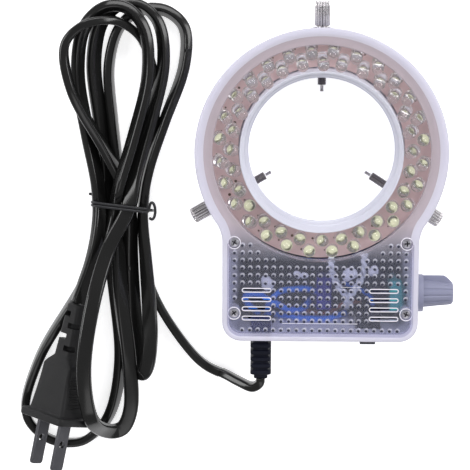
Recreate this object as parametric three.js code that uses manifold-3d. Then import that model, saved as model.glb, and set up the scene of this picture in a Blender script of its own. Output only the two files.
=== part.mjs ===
// Ring light for a stereo microscope, with a dimmer and a switch in its control box and a mains cord.
// Units are millimetres. The light lies on its back with its light ring facing up, +Z.
// X runs across the control box to the dimmer knob, and Y from the control box to the ring.
// The pieces are modelled from the ring's centre at the height of the back face, and the whole is
// moved at the end, so that the origin is under the middle of the light, without its cord.

import * as THREE from 'three';
import { mergeVertices } from 'three/addons/utils/BufferGeometryUtils.js';
import Module from 'manifold-3d';

const wasm = await Module();
wasm.setup();

// Sizes that several pieces share
const gap = 0.3;
const overrun = 2;
const weld = 0.0001;
const degree = Math.PI / 180;

// Housing: a ring with a box below it, drawn in towards the back
const ringR = 52.7;
const boxHalf = 41;
const boxBottom = 80.1;
const boxCornerR = 8;
const neckR = 16;
const lightHeight = 30;
const draftInset = 5;
const wall = 2.2;
const floorT = 2;
const coverDepth = 4.5;
const backTop = lightHeight - coverDepth;
const backEdge = 0.8;
const arcSteps = 40;
const bendSteps = 4;
const roundSides = 16;
const smallSides = 12;

// Front cover: a rim, a plate set below it and a round hole over the lamps
const rimFlat = 1.6;
const rimSlope = 1.6;
const rimDrop = 1;
const rimEdge = 0.5;
const plateT = 2;
const lampHoleInset = 7.4;
const lampHoleR = ringR - lampHoleInset;
const holeLipT = 1.1;
const holeLipDepth = 1.2;
const coverScrewInset = 5;
const coverScrewX = boxHalf - coverScrewInset;
const upperScrewInset = 14.7;
const lowerScrewRise = 11.8;
const coverScrewYs = [upperScrewInset - ringR, lowerScrewRise - boxBottom];
const coverBossR = 3;
const coverScrewHoleR = 1.35;
const counterboreR = 2.4;
const ventLength = 11.4;
const ventWidth = 1.1;
const ventPitch = 4;
const ventRows = 4;
const ventEndSteps = 3;
const ventInset = 14.4;
const ventX = boxHalf - ventInset;
const ventRise = 21.8;
const ventTopY = ventRise - boxBottom;
const tabX = 1.5;
const tabWidth = 17;
const tabT = 2;
const tabInset = 4.8;
const tabOuterY = ringR - tabInset;
const tabDrop = 3.6;

// Lamp board, which laps under the cover's edge
const boardLap = 1.2;
const boardWidth = 11.8;
const boardOuterR = lampHoleR + boardLap;
const boardInnerR = boardOuterR - boardWidth;
const boardT = 1.6;

// Tube round the bore, with a shoulder for the lamp board and a lip that stops the microscope's ring
const collarClearance = 0.6;
const collarR = boardInnerR - collarClearance;
const collarDrop = 3;
const collarTop = lightHeight - collarDrop;
const collarT = 0.7;
const shoulderWidth = 2.8;
const tubeR = collarR + shoulderWidth;
const tubeWall = 2.1;
const socketR = tubeR - tubeWall;
const shoulderDrop = 13.9;
const shoulderZ = lightHeight - shoulderDrop;
const shelfT = 2.5;
const lipWidth = 3.7;
const boreR = collarR - lipWidth;
const lipUnderWidth = 1.9;
const lipUnderR = collarR - lipUnderWidth;
const lipUnderRise = 2.9;
const lipUnderZ = shoulderZ + lipUnderRise;
const lipT = 1.5;
const lipEdgeZ = lipUnderZ + lipT;
const lipStepWidth = 2.4;
const lipStepR = collarR - lipStepWidth;
const lipStepRise = 1.8;
const lipStepZ = lipEdgeZ + lipStepRise;
const lipStepT = 0.5;
const tubeSteps = 40;

// Thumb screws: the fluted head, the shank and the dog tip, in brass inserts
const thumbScrewAngles = [90, 210.5, 327];
const thumbScrewNames = ['top', 'left', 'right'];
const thumbHeadReaches = [7.7, 9.9, 7.6];
const thumbZ = 6;
const thumbHeadR = 3.1;
const thumbHeadLength = 10.4;
const thumbFlutes = 16;
const thumbFluteDepth = 0.45;
const thumbRidgeShare = 0.5;
const thumbGrooveShare = 0.75;
const thumbNeckR = 2.3;
const thumbNeckLength = 0.9;
const shankR = 1.9;
const screwLength = 38.2;
const tipR = 0.85;
const tipLength = 2.6;
const insertR = 3.2;
const insertLength = 7.6;
const insertSetback = 3.4;
const insertInnerEnd = tubeR + insertSetback;
const bossR = 4.7;

// Cover screws
const screwHeadR = 1.95;
const screwHeadT = 1.4;
const screwShankR = 1;
const screwShankLength = 5;
const screwSides = 8;
const crossWidth = 0.55;
const crossLength = 2.3;
const crossDepth = 0.7;
const postR = 2.6;
const postHeight = 4.1;
const webT = 1.2;

// Lamps: round clear ones in two staggered rows that lean in
const lampsPerRow = 28;
const lampRowInsets = [3.75, 8.5];
const lampLean = 14 * degree;
const lampLift = 2.15;
const lampFlangeR = 2.95;
const lampFlangeT = 1;
const lampR = 2.5;
const lampBodyLength = 6.1;
const lampLength = 8.6;
const lampSides = 6;
const legT = 0.5;
const legSpacing = 2.54;
const trackT = 0.4;
const trackHalf = 0.7;

// Dimmer
const knobRise = 17.8;
const knobY = knobRise - boxBottom;
const controlDrop = 15.5;
const knobZ = lightHeight - controlDrop;
const skirtR = 7.9;
const skirtInset = 0.8;
const skirtStart = boxHalf - skirtInset;
const skirtLength = 3.4;
const skirtRecessR = 6.5;
const skirtRecessDepth = 1.9;
const knobBaseR = 5.95;
const knobEndR = 4.7;
const knobLength = 16.1;
const knobEnd = skirtStart + knobLength;
const knobEndRound = 1.1;
const knobSides = 24;
const knobFlutes = 12;
const fluteR = 0.7;
const fluteSides = 6;
const pointerT = 1.8;
const pointerRise = 6.3;
const shaftR = 3;
const shaftSetback = 4.3;
const shaftEnd = knobEnd - shaftSetback;
const potWidth = 13;
const potDepth = 5.3;
const potInset = 6.2;
const potFront = boxHalf - potInset;
const bushingR = 4.4;
const potNutR = 5.6;
const potNutT = 1.5;
const potNutInset = 1.2;
const potNutStart = boxHalf - potNutInset;
const potNutSides = 6;

// Rocker switch
const switchInset = 20.7;
const switchX = boxHalf - switchInset;
const switchZ = lightHeight - controlDrop;
const bezelHalfX = 6.2;
const bezelHalfZ = 8.6;
const bezelT = 1.3;
const bezelInset = 0.8;
const bezelY = bezelInset - boxBottom;
const switchHalfX = 5.2;
const switchHalfZ = 7.6;
const switchDepth = 9.8;
const switchInnerY = bezelY + switchDepth;
const rockerHalfX = 3.35;
const rockerHalfZ = 5.8;
const rockerOut = 2.6;
const rockerIn = 1.6;
const rockerTilt = 14 * degree;
const rockerAxisOut = 0.5;
const rockerAxisY = bezelY - rockerAxisOut;
const rockerDish = 0.6;

// Cord gland
const glandInset = 16.2;
const glandX = glandInset - boxHalf;
const glandDrop = 17;
const glandZ = lightHeight - glandDrop;
const glandHalf = 4.4;
const glandCoreHalf = 3.3;
const glandFlangeHalf = 5.5;
const glandFlangeT = 1.5;
const glandDepth = 7.7;
const glandInnerY = glandDepth - boxBottom;
const glandRibInset = 1.5;
const glandFirstRibY = glandRibInset - boxBottom;
const glandRibPitch = 2.95;
const glandRibT = 1.9;
const glandRibs = 7;
const glandStubHalf = 2.9;
const glandLength = 21.6;
const glandStubEndY = glandFirstRibY - glandLength;

// Driver board and what stands on it
const driverXShares = [-0.756, 0.293];
const driverX = driverXShares.map((share) => share * boxHalf);
const driverRise = 8.6;
const driverWidth = 25.5;
const driverY = [driverRise - boxBottom, driverRise + driverWidth - boxBottom];
const driverZ = 5;
const driverPostR = 2;
const driverPostInset = 3;
const filmCapInset = 7.2;
const filmCapT = 6.1;
const filmCapRise = 1.3;
const filmCapLength = 14.7;
const filmCapHeight = 9.2;
const canInset = 7.5;
const canRise = 18;
const canR = 4;
const canLength = 8.9;
const chipInset = 17;
const chipRise = 16.5;
const chipSize = [7, 5];
const chipT = 1.8;
const wireR = 0.6;
const wireSides = 6;
const wireInset = 1.6;
const wireStandoff = 1.2;
const wireSteps = 12;

// Mains cord: its layers are counted from the surface, and the tie lifts it a little at the waist
const cordR = 2.1;
const cordSides = 6;
const leadSides = 8;
const layer = 4.8;
const clearBelow = 0.1;
const waistY = -28;
const tieLift = 1.6;
const bunching = 0.03;
const lobeSteps = 12;
const gapSteps = 8;
const apart = 4;
const leadRoute = [
  [-24.8, -100.6, 13], [-24.8, -102.2, 13], [-28, -105, 11.2], [-34.2, -103.6, 7.4], [-40.2, -101.3, 4],
  [-46.7, -97.8, 2.4], [-51.2, -94.4, 2.3], [-55.3, -89.6, 2.3], [-59.6, -83.6, 2.3],
  [-63.9, -77, 2.3], [-67.3, -70.5, 2.3], [-70.3, -63.8, 2.3], [-73, -52.7, 2.3], [-74.4, -40.9, 2.7],
  [-74.9, -33.5, 3.5], [-74.9, -28.6, 3.8],
];
const leadSteps = 26;
const tailRoute = [
  [-93.4, -28.9, 8.6], [-93.5, -33, 9.8], [-94.4, -41, 11.2], [-96.8, -51.7, 11.2], [-99.6, -60, 10.2],
  [-101.6, -66, 9.6], [-102.64, -68.9, 9.62],
];
const tailSteps = 8;

// Wire tie: it starts at the left, goes round the waist, and ends in a curl at the right
const tieR = 0.6;
const tieHalfX = 13.4;
const tieHalfZ = 8;
const tieX = -84.2;
const tieSlope = 0.11;
const tieFirstY = -26.6;
const tiePitch = 3.3;
const tieTurns = 1.38;
const tieBluntness = 0.26;
const tieSteps = 30;
const tieSides = 6;
const tieEndRoute = [[-97.4, -19.6, 13.4], [-99.4, -20.8, 13.8], [-99.8, -22.8, 11.8]];
const tieCurlR = 4;
const tieCurlShare = 0.85;
const tieClimbShare = 0.33;
const tieCurlHalfX = 1.7;
const tieCurlRise = 2.4;
const tieCurlSteps = 8;

// Plug: relief, body, flange and two flat blades, rolled about its own line
const plugStart = new THREE.Vector3(-102.8, -69.6, 9.7);
const plugFace = new THREE.Vector3(-112.6, -119.3, 16.4);
const plugRoll = 43 * degree;
const flangeHalfX = 13;
const flangeHalfY = 9.5;
const flangeT = 3.3;
const flangeCorner = 1;
const plugBodyLength = 25;
const plugBase = [10.3, 7];
const plugShoulder = [8.2, 5.6];
const plugShoulderLength = 5.4;
const plugNeck = [4.6, 4.2];
const plugCorner = 1.6;
const reliefStart = [3.5, 3.3];
const reliefCorner = 1;
const reliefCore = 2.4;
const reliefNotch = 2.4;
const reliefFirstNotch = 4.6;
const reliefNotchPitch = 4.9;
const reliefNotches = 4;
const bladeWidth = 6.3;
const bladeT = 1.5;
const bladeSpacing = 12.7;
const bladeLength = 17.6;
const bladeRoot = 2;
const bladeHoleR = 1.6;
const bladeHoleFromTip = 10.5;
const bladeCorner = 1.2;

// Colour, roughness and metalness of each material
function material(color, roughness, metalness) {
  return new THREE.MeshStandardMaterial({ color, roughness, metalness });
}

const housingPlastic = material(0xe6e6f0, 0.35, 0);
const coverPlastic = material(0xcfc6d2, 0.3, 0);
const boardLaminate = material(0xb49b9b, 0.6, 0);
const lampClear = material(0xdadfcb, 0.1, 0);
const nickel = material(0xc4c2c6, 0.25, 1);
const brass = material(0xc2a35a, 0.35, 1);
const screwSteel = material(0x8f9096, 0.3, 1);
const knobPlastic = material(0x8789a0, 0.45, 0);
const tealCase = material(0x50a0a5, 0.5, 0);
const switchPlastic = material(0x23263a, 0.45, 0);
const glandRubber = material(0x141826, 0.6, 0);
const driverLaminate = material(0x6a6f5c, 0.6, 0);
const indigoEpoxy = material(0x3c3c8c, 0.45, 0);
const blackSleeve = material(0x202028, 0.5, 0);
const blueWire = material(0x3c6ed2, 0.5, 0);
const brownWire = material(0x8a4a3a, 0.5, 0);
const whiteWire = material(0xe8e8f0, 0.5, 0);
const cordVinyl = material(0x1e1e20, 0.35, 0);
const plugVinyl = material(0x242426, 0.5, 0);

// Turns the faces of a closed geometry outwards and leaves only its welded positions
function closed(geometry) {
  const bare = geometry.clone();
  bare.deleteAttribute('normal');
  bare.deleteAttribute('uv');
  const welded = mergeVertices(bare, weld);
  const p = welded.attributes.position.array;
  const index = Array.from(welded.index.array);
  const kept = [];
  let volume = 0;
  for (let i = 0; i < index.length; i += 3) {
    const [a, b, c] = index.slice(i, i + 3);
    if (a === b || b === c || c === a) continue;
    kept.push(a, b, c);
    const [x, y, z] = [a, b, c].map((k) => new THREE.Vector3().fromArray(p, k * 3));
    volume += x.dot(y.cross(z));
  }
  welded.setIndex(volume < 0 ? kept.reverse() : kept);
  return welded;
}

function solid(geometry) {
  const shell = closed(geometry);
  const mesh = new wasm.Mesh({
    numProp: 3,
    vertProperties: new Float32Array(shell.attributes.position.array),
    triVerts: new Uint32Array(shell.index.array),
  });
  return new wasm.Manifold(mesh);
}

function geometryOf(manifold) {
  const mesh = manifold.getMesh();
  const geometry = new THREE.BufferGeometry();
  geometry.setAttribute('position', new THREE.BufferAttribute(mesh.vertProperties, 3));
  geometry.setIndex(new THREE.BufferAttribute(mesh.triVerts, 1));
  return geometry;
}

function joined(pieces) {
  return pieces.reduce((whole, piece) => whole.add(piece));
}

function cut(whole, tools) {
  return tools.reduce((left, tool) => left.subtract(tool), whole);
}

// A box between its bounds along X, Y and Z
function slab([x0, x1], [y0, y1], [z0, z1]) {
  const box = new THREE.BoxGeometry(x1 - x0, y1 - y0, z1 - z0);
  return box.translate((x0 + x1) / 2, (y0 + y1) / 2, (z0 + z1) / 2);
}

// A round bar along Z from z0 to z1
function rod(r, z0, z1, sides) {
  const bar = new THREE.CylinderGeometry(r, r, z1 - z0, sides);
  return bar.rotateX(Math.PI / 2).translate(0, 0, (z0 + z1) / 2);
}

// A profile of radius and height turned round Z
function turned(profile, sides) {
  const points = profile.map(([r, z]) => new THREE.Vector2(r, z));
  return new THREE.LatheGeometry(points, sides).rotateX(Math.PI / 2);
}

// An outline drawn in X and Y, extruded from z0 to z1
function prism(points, z0, z1) {
  const shape = new THREE.Shape(points);
  const depth = z1 - z0;
  return new THREE.ExtrudeGeometry(shape, { depth, bevelEnabled: false }).translate(0, 0, z0);
}

// An outline drawn in Y and Z, extruded from x0 to x1
function alongX(points, x0, x1) {
  const [x, y, z] = [[1, 0, 0], [0, 1, 0], [0, 0, 1]].map((v) => new THREE.Vector3(...v));
  const outlinePoints = points.map((p) => new THREE.Vector2(...p));
  return prism(outlinePoints, x0, x1).applyMatrix4(new THREE.Matrix4().makeBasis(y, z, x));
}

// A square bar along Y round a line at x and z
function box(x, z, half, ys) {
  return slab([x - half, x + half], ys, [z - half, z + half]);
}

// Evenly spaced points of a smooth line through a hand-chosen route
function route(points, steps) {
  const curve = new THREE.CatmullRomCurve3(points.map((p) => new THREE.Vector3(...p)));
  return curve.getSpacedPoints(steps);
}

// A tube with flat sides round a line of points
function sweep(line, r, sides) {
  const position = [];
  const index = [];
  const up = new THREE.Vector3(0, 0, 1);
  line.forEach((p, k) => {
    const ahead = line[Math.min(k + 1, line.length - 1)];
    const behind = line[Math.max(k - 1, 0)];
    const along = new THREE.Vector3().subVectors(ahead, behind).normalize();
    const side = new THREE.Vector3().crossVectors(up, along).normalize();
    const over = new THREE.Vector3().crossVectors(along, side);
    for (let i = 0; i < sides; i += 1) {
      const a = (2 * Math.PI * (i + 0.5)) / sides;
      const spoke = side.clone().multiplyScalar(r * Math.cos(a));
      spoke.addScaledVector(over, r * Math.sin(a));
      position.push(...spoke.add(p).toArray());
    }
  });
  for (let k = 0; k + 1 < line.length; k += 1) {
    for (let i = 0; i < sides; i += 1) {
      const a = k * sides + i;
      const b = k * sides + ((i + 1) % sides);
      index.push(a, b, b + sides, a, b + sides, a + sides);
    }
  }
  const last = (line.length - 1) * sides;
  for (let i = 1; i + 1 < sides; i += 1) {
    index.push(0, i + 1, i, last, last + i, last + i + 1);
  }
  const geometry = new THREE.BufferGeometry();
  geometry.setAttribute('position', new THREE.Float32BufferAttribute(position, 3));
  geometry.setIndex(index);
  return geometry;
}

// Points of an arc in X and Y
function arc(x, y, r, from, to, steps) {
  const points = [];
  for (let i = 0; i <= steps; i += 1) {
    const a = from + ((to - from) * i) / steps;
    points.push(new THREE.Vector2(x + r * Math.cos(a), y + r * Math.sin(a)));
  }
  return points;
}

// The light's outline, drawn in by an inset: ring, two hollow necks and the box's corners
function outline(inset) {
  const neckX = boxHalf + neckR;
  const neckY = -Math.sqrt((ringR + neckR) ** 2 - neckX ** 2);
  const neckAngle = Math.atan2(-neckY, neckX);
  const cornerX = boxHalf - boxCornerR;
  const cornerY = boxCornerR - boxBottom;
  const r = boxCornerR - inset;
  const hollow = neckR + inset;
  const quarter = Math.PI / 2;
  return [
    ...arc(cornerX, cornerY, r, -quarter, 0, bendSteps),
    ...arc(neckX, neckY, hollow, Math.PI, Math.PI - neckAngle, bendSteps),
    ...arc(0, 0, ringR - inset, -neckAngle, Math.PI + neckAngle, arcSteps).slice(1, -1),
    ...arc(-neckX, neckY, hollow, neckAngle, 0, bendSteps),
    ...arc(-cornerX, cornerY, r, Math.PI, Math.PI + quarter, bendSteps),
  ];
}

// How far the draft draws the outer wall in at a height
function draft(z) {
  return (draftInset * (lightHeight - z)) / lightHeight;
}

// A solid skin over rings of points, each with its height along Z
function skin(rings) {
  const count = rings[0][1].length;
  const position = [];
  const index = [];
  for (const [z, ring] of rings) {
    ring.forEach((p) => position.push(p.x, p.y, z));
  }
  for (let k = 0; k + 1 < rings.length; k += 1) {
    for (let i = 0; i < count; i += 1) {
      const a = k * count + i;
      const b = k * count + ((i + 1) % count);
      index.push(a, b, b + count, a, b + count, a + count);
    }
  }
  const top = (rings.length - 1) * count;
  for (const [a, b, c] of THREE.ShapeUtils.triangulateShape(rings[0][1], [])) {
    index.push(c, b, a);
  }
  for (const [a, b, c] of THREE.ShapeUtils.triangulateShape(rings.at(-1)[1], [])) {
    index.push(top + a, top + b, top + c);
  }
  const geometry = new THREE.BufferGeometry();
  geometry.setAttribute('position', new THREE.Float32BufferAttribute(position, 3));
  geometry.setIndex(index);
  return geometry;
}

// A solid through insets of the light's outline at given heights
function loft(levels) {
  return skin(levels.map(([z, inset]) => [z, outline(inset)]));
}

// Where a thumb screw's axis lies: local Z runs outwards along it
function thumbFrame(angle) {
  const out = new THREE.Vector3(Math.cos(angle * degree), Math.sin(angle * degree), 0);
  const up = new THREE.Vector3(0, 0, 1);
  const side = new THREE.Vector3().crossVectors(out, up);
  return new THREE.Matrix4().makeBasis(up, side, out).setPosition(0, 0, thumbZ);
}

const light = new THREE.Group();
const cord = new THREE.Group();

function add(group, name, piece, look) {
  const geometry = piece.getMesh ? geometryOf(piece) : closed(piece);
  const mesh = new THREE.Mesh(geometry, look);
  mesh.name = name;
  group.add(mesh);
  return mesh;
}

const coverBottom = backTop + gap;
const plateTop = lightHeight - rimDrop;
const plateBottom = plateTop - plateT;
const coverScrewPlaces = coverScrewYs.flatMap((y) => [[-coverScrewX, y], [coverScrewX, y]]);
const headSeatZ = coverBottom + (plateTop - coverBottom) / 2;

// The front cover carries its rim, plate, lip, vents, screw bosses and the tab at the top
function frontCover() {
  const outer = solid(loft([
    [coverBottom, draft(coverBottom)],
    [lightHeight - rimEdge, draft(lightHeight - rimEdge)],
    [lightHeight, rimEdge],
  ]));
  const recess = solid(loft([
    [plateTop, rimFlat + rimSlope],
    [lightHeight, rimFlat],
    [lightHeight + overrun, rimFlat],
  ]));
  const hollow = solid(loft([
    [coverBottom - overrun, draft(coverBottom) + wall],
    [plateBottom, draft(plateBottom) + wall],
  ]));
  const lip = solid(rod(lampHoleR + holeLipT, plateBottom - holeLipDepth, plateTop, tubeSteps));
  const bosses = coverScrewPlaces.map(([x, y]) => (
    solid(rod(coverBossR, coverBottom, plateTop, smallSides).translate(x, y, 0)).intersect(outer)
  ));
  const tab = solid(slab(
    [tabX - tabWidth / 2, tabX + tabWidth / 2],
    [tabOuterY - tabT, tabOuterY],
    [plateBottom - tabDrop, plateTop],
  ));
  const holes = [solid(rod(lampHoleR, coverBottom - overrun, lightHeight, tubeSteps))];
  for (const [x, y] of coverScrewPlaces) {
    const hole = rod(coverScrewHoleR, coverBottom - overrun, lightHeight, smallSides);
    const sink = rod(counterboreR, headSeatZ, lightHeight, smallSides);
    holes.push(solid(hole.translate(x, y, 0)), solid(sink.translate(x, y, 0)));
  }
  const endX = (ventLength - ventWidth) / 2;
  const quarter = Math.PI / 2;
  const slot = [
    ...arc(endX, 0, ventWidth / 2, -quarter, quarter, ventEndSteps),
    ...arc(-endX, 0, ventWidth / 2, quarter, 3 * quarter, ventEndSteps),
  ];
  for (const x of [-ventX, ventX]) {
    for (let row = 0; row < ventRows; row += 1) {
      const y = ventTopY - row * ventPitch;
      holes.push(solid(prism(slot, plateBottom - overrun, lightHeight).translate(x, y, 0)));
    }
  }
  const plate = cut(outer, [recess, hollow]);
  return cut(joined([plate, lip, ...bosses, tab]), holes);
}

// The tube that the microscope's ring enters from behind
function boreTube() {
  const shelfZ = shoulderZ - shelfT;
  return turned([
    [socketR, 0],
    [tubeR, 0],
    [tubeR, shoulderZ],
    [collarR, shoulderZ],
    [collarR, collarTop],
    [collarR - collarT, collarTop],
    [lipStepR + lipStepT, lipStepZ],
    [lipStepR, lipStepZ],
    [boreR, lipEdgeZ],
    [boreR, lipUnderZ],
    [lipUnderR, shelfZ],
    [socketR, shelfZ],
    [socketR, 0],
  ], tubeSteps);
}

const wallHoleZ = switchHalfZ + gap;
const glandHoleHalf = glandCoreHalf + gap;

// The back shell is a deep bowl with the bore's tube, bosses for the inserts, and posts on webs
function backShell() {
  const outer = solid(loft([
    [0, draft(0) + backEdge],
    [backEdge, draft(backEdge)],
    [backTop, draft(backTop)],
  ]));
  const hollow = solid(loft([
    [floorT, draft(floorT) + wall],
    [backTop, draft(backTop) + wall],
    [backTop + overrun, draft(backTop) + wall],
  ]));
  const midTubeR = (socketR + tubeR) / 2;
  const opening = solid(rod(midTubeR, -overrun, floorT + overrun, tubeSteps));
  const pieces = [solid(boreTube())];
  const holes = [];
  for (const angle of thumbScrewAngles) {
    const frame = thumbFrame(angle);
    const boss = rod(bossR, midTubeR, ringR, smallSides).applyMatrix4(frame);
    pieces.push(solid(boss).intersect(outer));
    const bore = rod(shankR + gap, boreR, ringR + overrun, smallSides);
    const seat = rod(insertR + gap, insertInnerEnd - gap, ringR + overrun, smallSides);
    holes.push(solid(bore.applyMatrix4(frame)), solid(seat.applyMatrix4(frame)));
  }
  for (const [x, y] of coverScrewPlaces) {
    const post = rod(postR, backTop - postHeight, backTop, smallSides).translate(x, y, 0);
    pieces.push(solid(post).intersect(outer));
    const web = slab(
      x < 0 ? [-ringR, x] : [x, ringR],
      [y - webT / 2, y + webT / 2],
      [backTop - postHeight, backTop],
    );
    pieces.push(solid(web).intersect(outer));
    const pilot = rod(screwShankR + gap, backTop - postHeight - overrun, backTop + overrun, screwSides);
    holes.push(solid(pilot.translate(x, y, 0)));
  }
  for (const x of [driverX[0] + driverPostInset, driverX[1] - driverPostInset]) {
    for (const y of [driverY[0] + driverPostInset, driverY[1] - driverPostInset]) {
      pieces.push(solid(rod(driverPostR, floorT / 2, driverZ - gap, screwSides).translate(x, y, 0)));
    }
  }
  const across = [boxHalf - draftInset - wall - overrun, boxHalf + overrun];
  const knobHole = rod(bushingR + gap, across[0], across[1], roundSides).rotateY(Math.PI / 2);
  holes.push(solid(knobHole.translate(0, knobY, knobZ)));
  const through = [-boxBottom - overrun, -boxBottom + draftInset + wall + overrun];
  holes.push(solid(slab(
    [switchX - switchHalfX - gap, switchX + switchHalfX + gap],
    through,
    [switchZ - wallHoleZ, switchZ + wallHoleZ],
  )));
  holes.push(solid(slab(
    [glandX - glandHoleHalf, glandX + glandHoleHalf],
    through,
    [glandZ - glandHoleHalf, glandZ + glandHoleHalf],
  )));
  const bowl = cut(outer, [hollow, opening]);
  return cut(joined([bowl, ...pieces]), holes);
}

add(light, 'front_cover', frontCover(), coverPlastic);
add(light, 'back_shell', backShell(), housingPlastic);

for (const [k, [x, y]] of coverScrewPlaces.entries()) {
  const seat = headSeatZ + gap;
  const head = solid(turned([
    [0, seat],
    [screwHeadR, seat],
    [screwHeadR, seat + screwHeadT / 2],
    [screwHeadR / 2, seat + screwHeadT],
    [0, seat + screwHeadT],
  ], smallSides));
  const shank = solid(rod(screwShankR, seat - screwShankLength, seat + screwHeadT / 2, screwSides));
  const slots = [crossLength, crossWidth].map((width, i) => solid(slab(
    [-width / 2, width / 2],
    [-[crossWidth, crossLength][i] / 2, [crossWidth, crossLength][i] / 2],
    [seat + screwHeadT - crossDepth, seat + screwHeadT + overrun],
  )));
  const screw = add(light, `cover_screw_${k + 1}`, cut(head.add(shank), slots), screwSteel);
  screw.position.set(x, y, 0);
}

// Thumb screws, modelled along their own axis and then turned to it
const headOutline = [];
for (let i = 0; i < thumbFlutes; i += 1) {
  const step = (2 * Math.PI) / thumbFlutes;
  const inner = thumbHeadR - thumbFluteDepth;
  for (const [r, share] of [[thumbHeadR, 0], [thumbHeadR, thumbRidgeShare], [inner, thumbGrooveShare]]) {
    const a = (i + share) * step;
    headOutline.push(new THREE.Vector2(r * Math.cos(a), r * Math.sin(a)));
  }
}

for (const [k, angle] of thumbScrewAngles.entries()) {
  const end = ringR + thumbHeadReaches[k];
  const headStart = end - thumbHeadLength;
  const tipStart = end - screwLength;
  const shankStart = tipStart + tipLength + gap;
  const screw = joined([
    solid(prism(headOutline, headStart, end)),
    solid(rod(thumbNeckR, headStart - thumbNeckLength, headStart + thumbNeckLength, smallSides)),
    solid(rod(shankR, shankStart, headStart + thumbNeckLength, smallSides)),
  ]);
  const tip = rod(tipR, tipStart, tipStart + tipLength, smallSides);
  const insert = turned([
    [shankR + gap, insertInnerEnd],
    [insertR, insertInnerEnd],
    [insertR, insertInnerEnd + insertLength],
    [shankR + gap, insertInnerEnd + insertLength],
    [shankR + gap, insertInnerEnd],
  ], smallSides);
  const name = thumbScrewNames[k];
  for (const [title, piece, look] of [
    [`thumb_screw_${name}`, screw, nickel],
    [`screw_tip_${name}`, tip, nickel],
    [`screw_insert_${name}`, insert, brass],
  ]) {
    add(light, title, piece, look).applyMatrix4(thumbFrame(angle));
  }
}

// Lamp board and its two rows of lamps
const boardZ = shoulderZ + gap;
const boardTop = boardZ + boardT;
add(light, 'led_board', turned([
  [boardInnerR, boardZ],
  [boardOuterR, boardZ],
  [boardOuterR, boardTop],
  [boardInnerR, boardTop],
  [boardInnerR, boardZ],
], tubeSteps), boardLaminate);

const lampProfile = [
  [0, 0],
  [lampFlangeR, 0],
  [lampFlangeR, lampFlangeT],
  [lampR, lampFlangeT],
  [lampR, lampBodyLength],
  [lampR * Math.SQRT1_2, lampBodyLength + (lampLength - lampBodyLength) * Math.SQRT1_2],
  [0, lampLength],
];

lampRowInsets.forEach((inset, row) => {
  const rowR = boardInnerR + inset;
  const trackZ = boardTop + gap;
  const pieces = [solid(turned([
    [rowR - trackHalf, trackZ],
    [rowR + trackHalf, trackZ],
    [rowR + trackHalf, trackZ + trackT],
    [rowR - trackHalf, trackZ + trackT],
    [rowR - trackHalf, trackZ],
  ], lampsPerRow))];
  const lamp = solid(turned(lampProfile, lampSides).rotateY(-lampLean));
  const legs = solid(slab(
    [-legT / 2, legT / 2],
    [-(legSpacing + legT) / 2, (legSpacing + legT) / 2],
    [-lampLift + gap + trackT / 2, lampFlangeT / 2],
  ));
  const standing = lamp.add(legs);
  for (let i = 0; i < lampsPerRow; i += 1) {
    const a = ((i + row / 2) * 360) / lampsPerRow;
    pieces.push(standing.translate([rowR, 0, boardTop + lampLift]).rotate([0, 0, a]));
  }
  add(light, ['leds_inner_row', 'leds_outer_row'][row], joined(pieces), lampClear);
});

// Dimmer: the knob and shaft turn, and the potentiometer stays
function dimmerPiece(name, piece, look) {
  const mesh = add(light, name, piece, look);
  mesh.rotation.y = Math.PI / 2;
  mesh.position.set(0, knobY, knobZ);
}

function dimmerKnob() {
  const skirtEnd = skirtStart + skirtLength;
  const bodyLength = knobEnd - skirtEnd;
  const body = solid(turned([
    [0, skirtStart],
    [skirtR, skirtStart],
    [skirtR, skirtEnd],
    [knobBaseR, skirtEnd],
    [knobEndR, knobEnd - knobEndRound],
    [knobEndR - knobEndRound, knobEnd],
    [0, knobEnd],
  ], knobSides));
  const pointer = solid(slab(
    [-pointerT / 2, pointerT / 2],
    [0, pointerRise],
    [skirtEnd - skirtLength / 2, knobEnd - knobEndRound],
  ));
  const taper = Math.atan2(knobBaseR - knobEndR, bodyLength);
  const flutes = [];
  for (let i = 1; i < knobFlutes; i += 1) {
    const groove = rod(fluteR, 0, bodyLength + overrun, fluteSides).rotateX(taper);
    groove.translate(0, knobBaseR, skirtEnd).rotateZ((i * 2 * Math.PI) / knobFlutes);
    flutes.push(solid(groove));
  }
  const bore = solid(rod(shaftR + gap, skirtStart - overrun, shaftEnd + gap, roundSides));
  const recessEnd = skirtStart + skirtRecessDepth;
  const recess = solid(rod(skirtRecessR, skirtStart - overrun, recessEnd, knobSides));
  return cut(body.add(pointer), [...flutes, bore, recess]);
}

dimmerPiece('dimmer_knob', dimmerKnob(), knobPlastic);
dimmerPiece('dimmer_shaft', rod(shaftR, potFront + gap, shaftEnd, smallSides), nickel);
const bushingEnd = skirtStart + skirtRecessDepth - gap;
const bushing = solid(rod(bushingR, potFront - potDepth / 2, bushingEnd, roundSides));
const potCase = solid(slab(
  [-potWidth / 2, potWidth / 2],
  [-potWidth / 2, potWidth / 2],
  [potFront - potDepth, potFront],
));
const shaftHole = solid(rod(shaftR + gap, potFront, bushingEnd + overrun, roundSides));
dimmerPiece('potentiometer', cut(potCase.add(bushing), [shaftHole]), tealCase);
const nutEnd = potNutStart + potNutT;
dimmerPiece('dimmer_nut', cut(solid(rod(potNutR, potNutStart, nutEnd, potNutSides)), [
  solid(rod(bushingR + gap, potNutStart - overrun, nutEnd + overrun, roundSides)),
]), nickel);

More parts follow.
